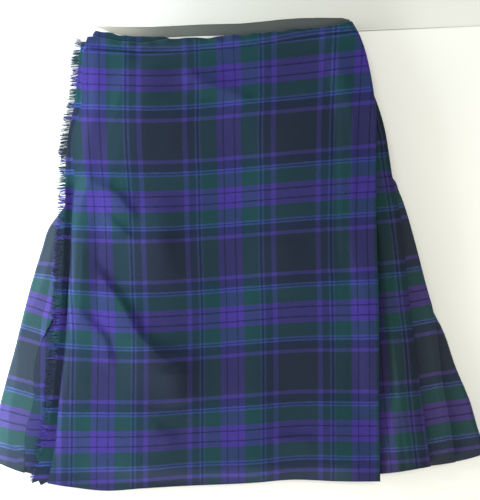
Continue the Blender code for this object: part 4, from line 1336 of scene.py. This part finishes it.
class KiltStage(bpy.types.PropertyGroup):
    """The surface, the lights and the camera"""
    distance: length("Camera height", "Distance from the camera to the surface", 1.75)
    width: length("Picture width", "What the picture's width takes in", 0.6528)
    tilt: FloatProperty(name="Camera tilt", description="Lean of the camera towards the hem", default=0.0,
                        subtype="ANGLE", unit="ROTATION")
    surface: dye("Surface", "The pale surface that the kilt lies on", 246, 246, 240)
    side: power("Side light", "Power of the low light from the left", 3.0)
    near: power("Near light", "Power of the low light close to the left side", 9.0)
    front: power("Front light", "Power of the low light beyond the hem", 12.0)
    right: power("Right light", "Power of the high light from the right", 9.0)
    rear: power("Rear light", "Power of the light beyond the waist", 3.3)
    air: share("Room light", "Strength of the even light from all round", 0.25, 5.0)


GROUPS = {"kilt_cloth": KiltCloth, "kilt_dyes": KiltDyes, "kilt_folds": KiltFolds,
          "kilt_fringe": KiltFringe, "kilt_stage": KiltStage}

# ---------------------------------------------------------------- operators


class KILT_OT_back(bpy.types.Operator):
    """Lay the back's knife pleats and the third side pleat, which wraps round the right side"""
    bl_idname = "kilt.back"
    bl_label = "Back and third side pleat"

    def execute(self, context):
        lay_back(context.scene)
        lay_side_pleat_3(context.scene)
        return {"FINISHED"}


class KILT_OT_under_apron(bpy.types.Operator):
    """Lay the under apron on the back"""
    bl_idname = "kilt.under_apron"
    bl_label = "Under apron"

    def execute(self, context):
        lay_under_apron(context.scene)
        return {"FINISHED"}


class KILT_OT_waistband(bpy.types.Operator):
    """Bind the top edge all round"""
    bl_idname = "kilt.waistband"
    bl_label = "Waistband"

    def execute(self, context):
        lay_waistband(context.scene)
        return {"FINISHED"}


class KILT_OT_side_pleats(bpy.types.Operator):
    """Lay the left pleat and the two pleats beside the apron"""
    bl_idname = "kilt.side_pleats"
    bl_label = "Left and side pleats"

    def execute(self, context):
        lay_left_pleat(context.scene)
        lay_side_pleat(context.scene, 2)
        lay_side_pleat(context.scene, 1)
        return {"FINISHED"}


class KILT_OT_fringe(bpy.types.Operator):
    """Lay the woven strip and its loose threads along the over apron's free edge"""
    bl_idname = "kilt.fringe"
    bl_label = "Fringe"

    def execute(self, context):
        lay_fringe(context.scene)
        return {"FINISHED"}


class KILT_OT_over_apron(bpy.types.Operator):
    """Lay the over apron, with its deep pleat turned under"""
    bl_idname = "kilt.over_apron"
    bl_label = "Over apron"

    def execute(self, context):
        lay_over_apron(context.scene)
        return {"FINISHED"}


class KILT_OT_stage(bpy.types.Operator):
    """Make the pale surface, the lights and the camera that looks straight down"""
    bl_idname = "kilt.stage"
    bl_label = "Surface, lights and camera"

    def execute(self, context):
        context.scene.view_settings.view_transform = "Standard"
        lay_background(context.scene)
        light_room(context.scene)
        add_camera(context.scene)
        return {"FINISHED"}


OPERATORS = (KILT_OT_back, KILT_OT_under_apron, KILT_OT_waistband, KILT_OT_side_pleats, KILT_OT_fringe,
             KILT_OT_over_apron, KILT_OT_stage)


class KILT_PT_panel(bpy.types.Panel):
    """The kilt's settings and the steps that lay it out"""
    bl_idname = "KILT_PT_panel"
    bl_label = "Kilt"
    bl_space_type = "VIEW_3D"
    bl_region_type = "UI"
    bl_category = "Kilt"

    def draw(self, context):
        for group, kind in GROUPS.items():
            box = self.layout.box()
            for name in kind.__annotations__:
                box.prop(getattr(context.scene, group), name)
        for step in OPERATORS:
            self.layout.operator(step.bl_idname)


def register():
    for kind in (*GROUPS.values(), *OPERATORS, KILT_PT_panel):
        bpy.utils.register_class(kind)
    for name, kind in GROUPS.items():
        setattr(bpy.types.Scene, name, PointerProperty(type=kind))


def unregister():
    for name in GROUPS:
        delattr(bpy.types.Scene, name)
    for kind in (KILT_PT_panel, *reversed(OPERATORS), *reversed(list(GROUPS.values()))):
        bpy.utils.unregister_class(kind)


def main():
    register()
    for step in OPERATORS:
        family, name = step.bl_idname.split(".")
        getattr(getattr(bpy.ops, family), name)()
    bpy.context.view_layer.update()


if __name__ == "__main__":
    main()
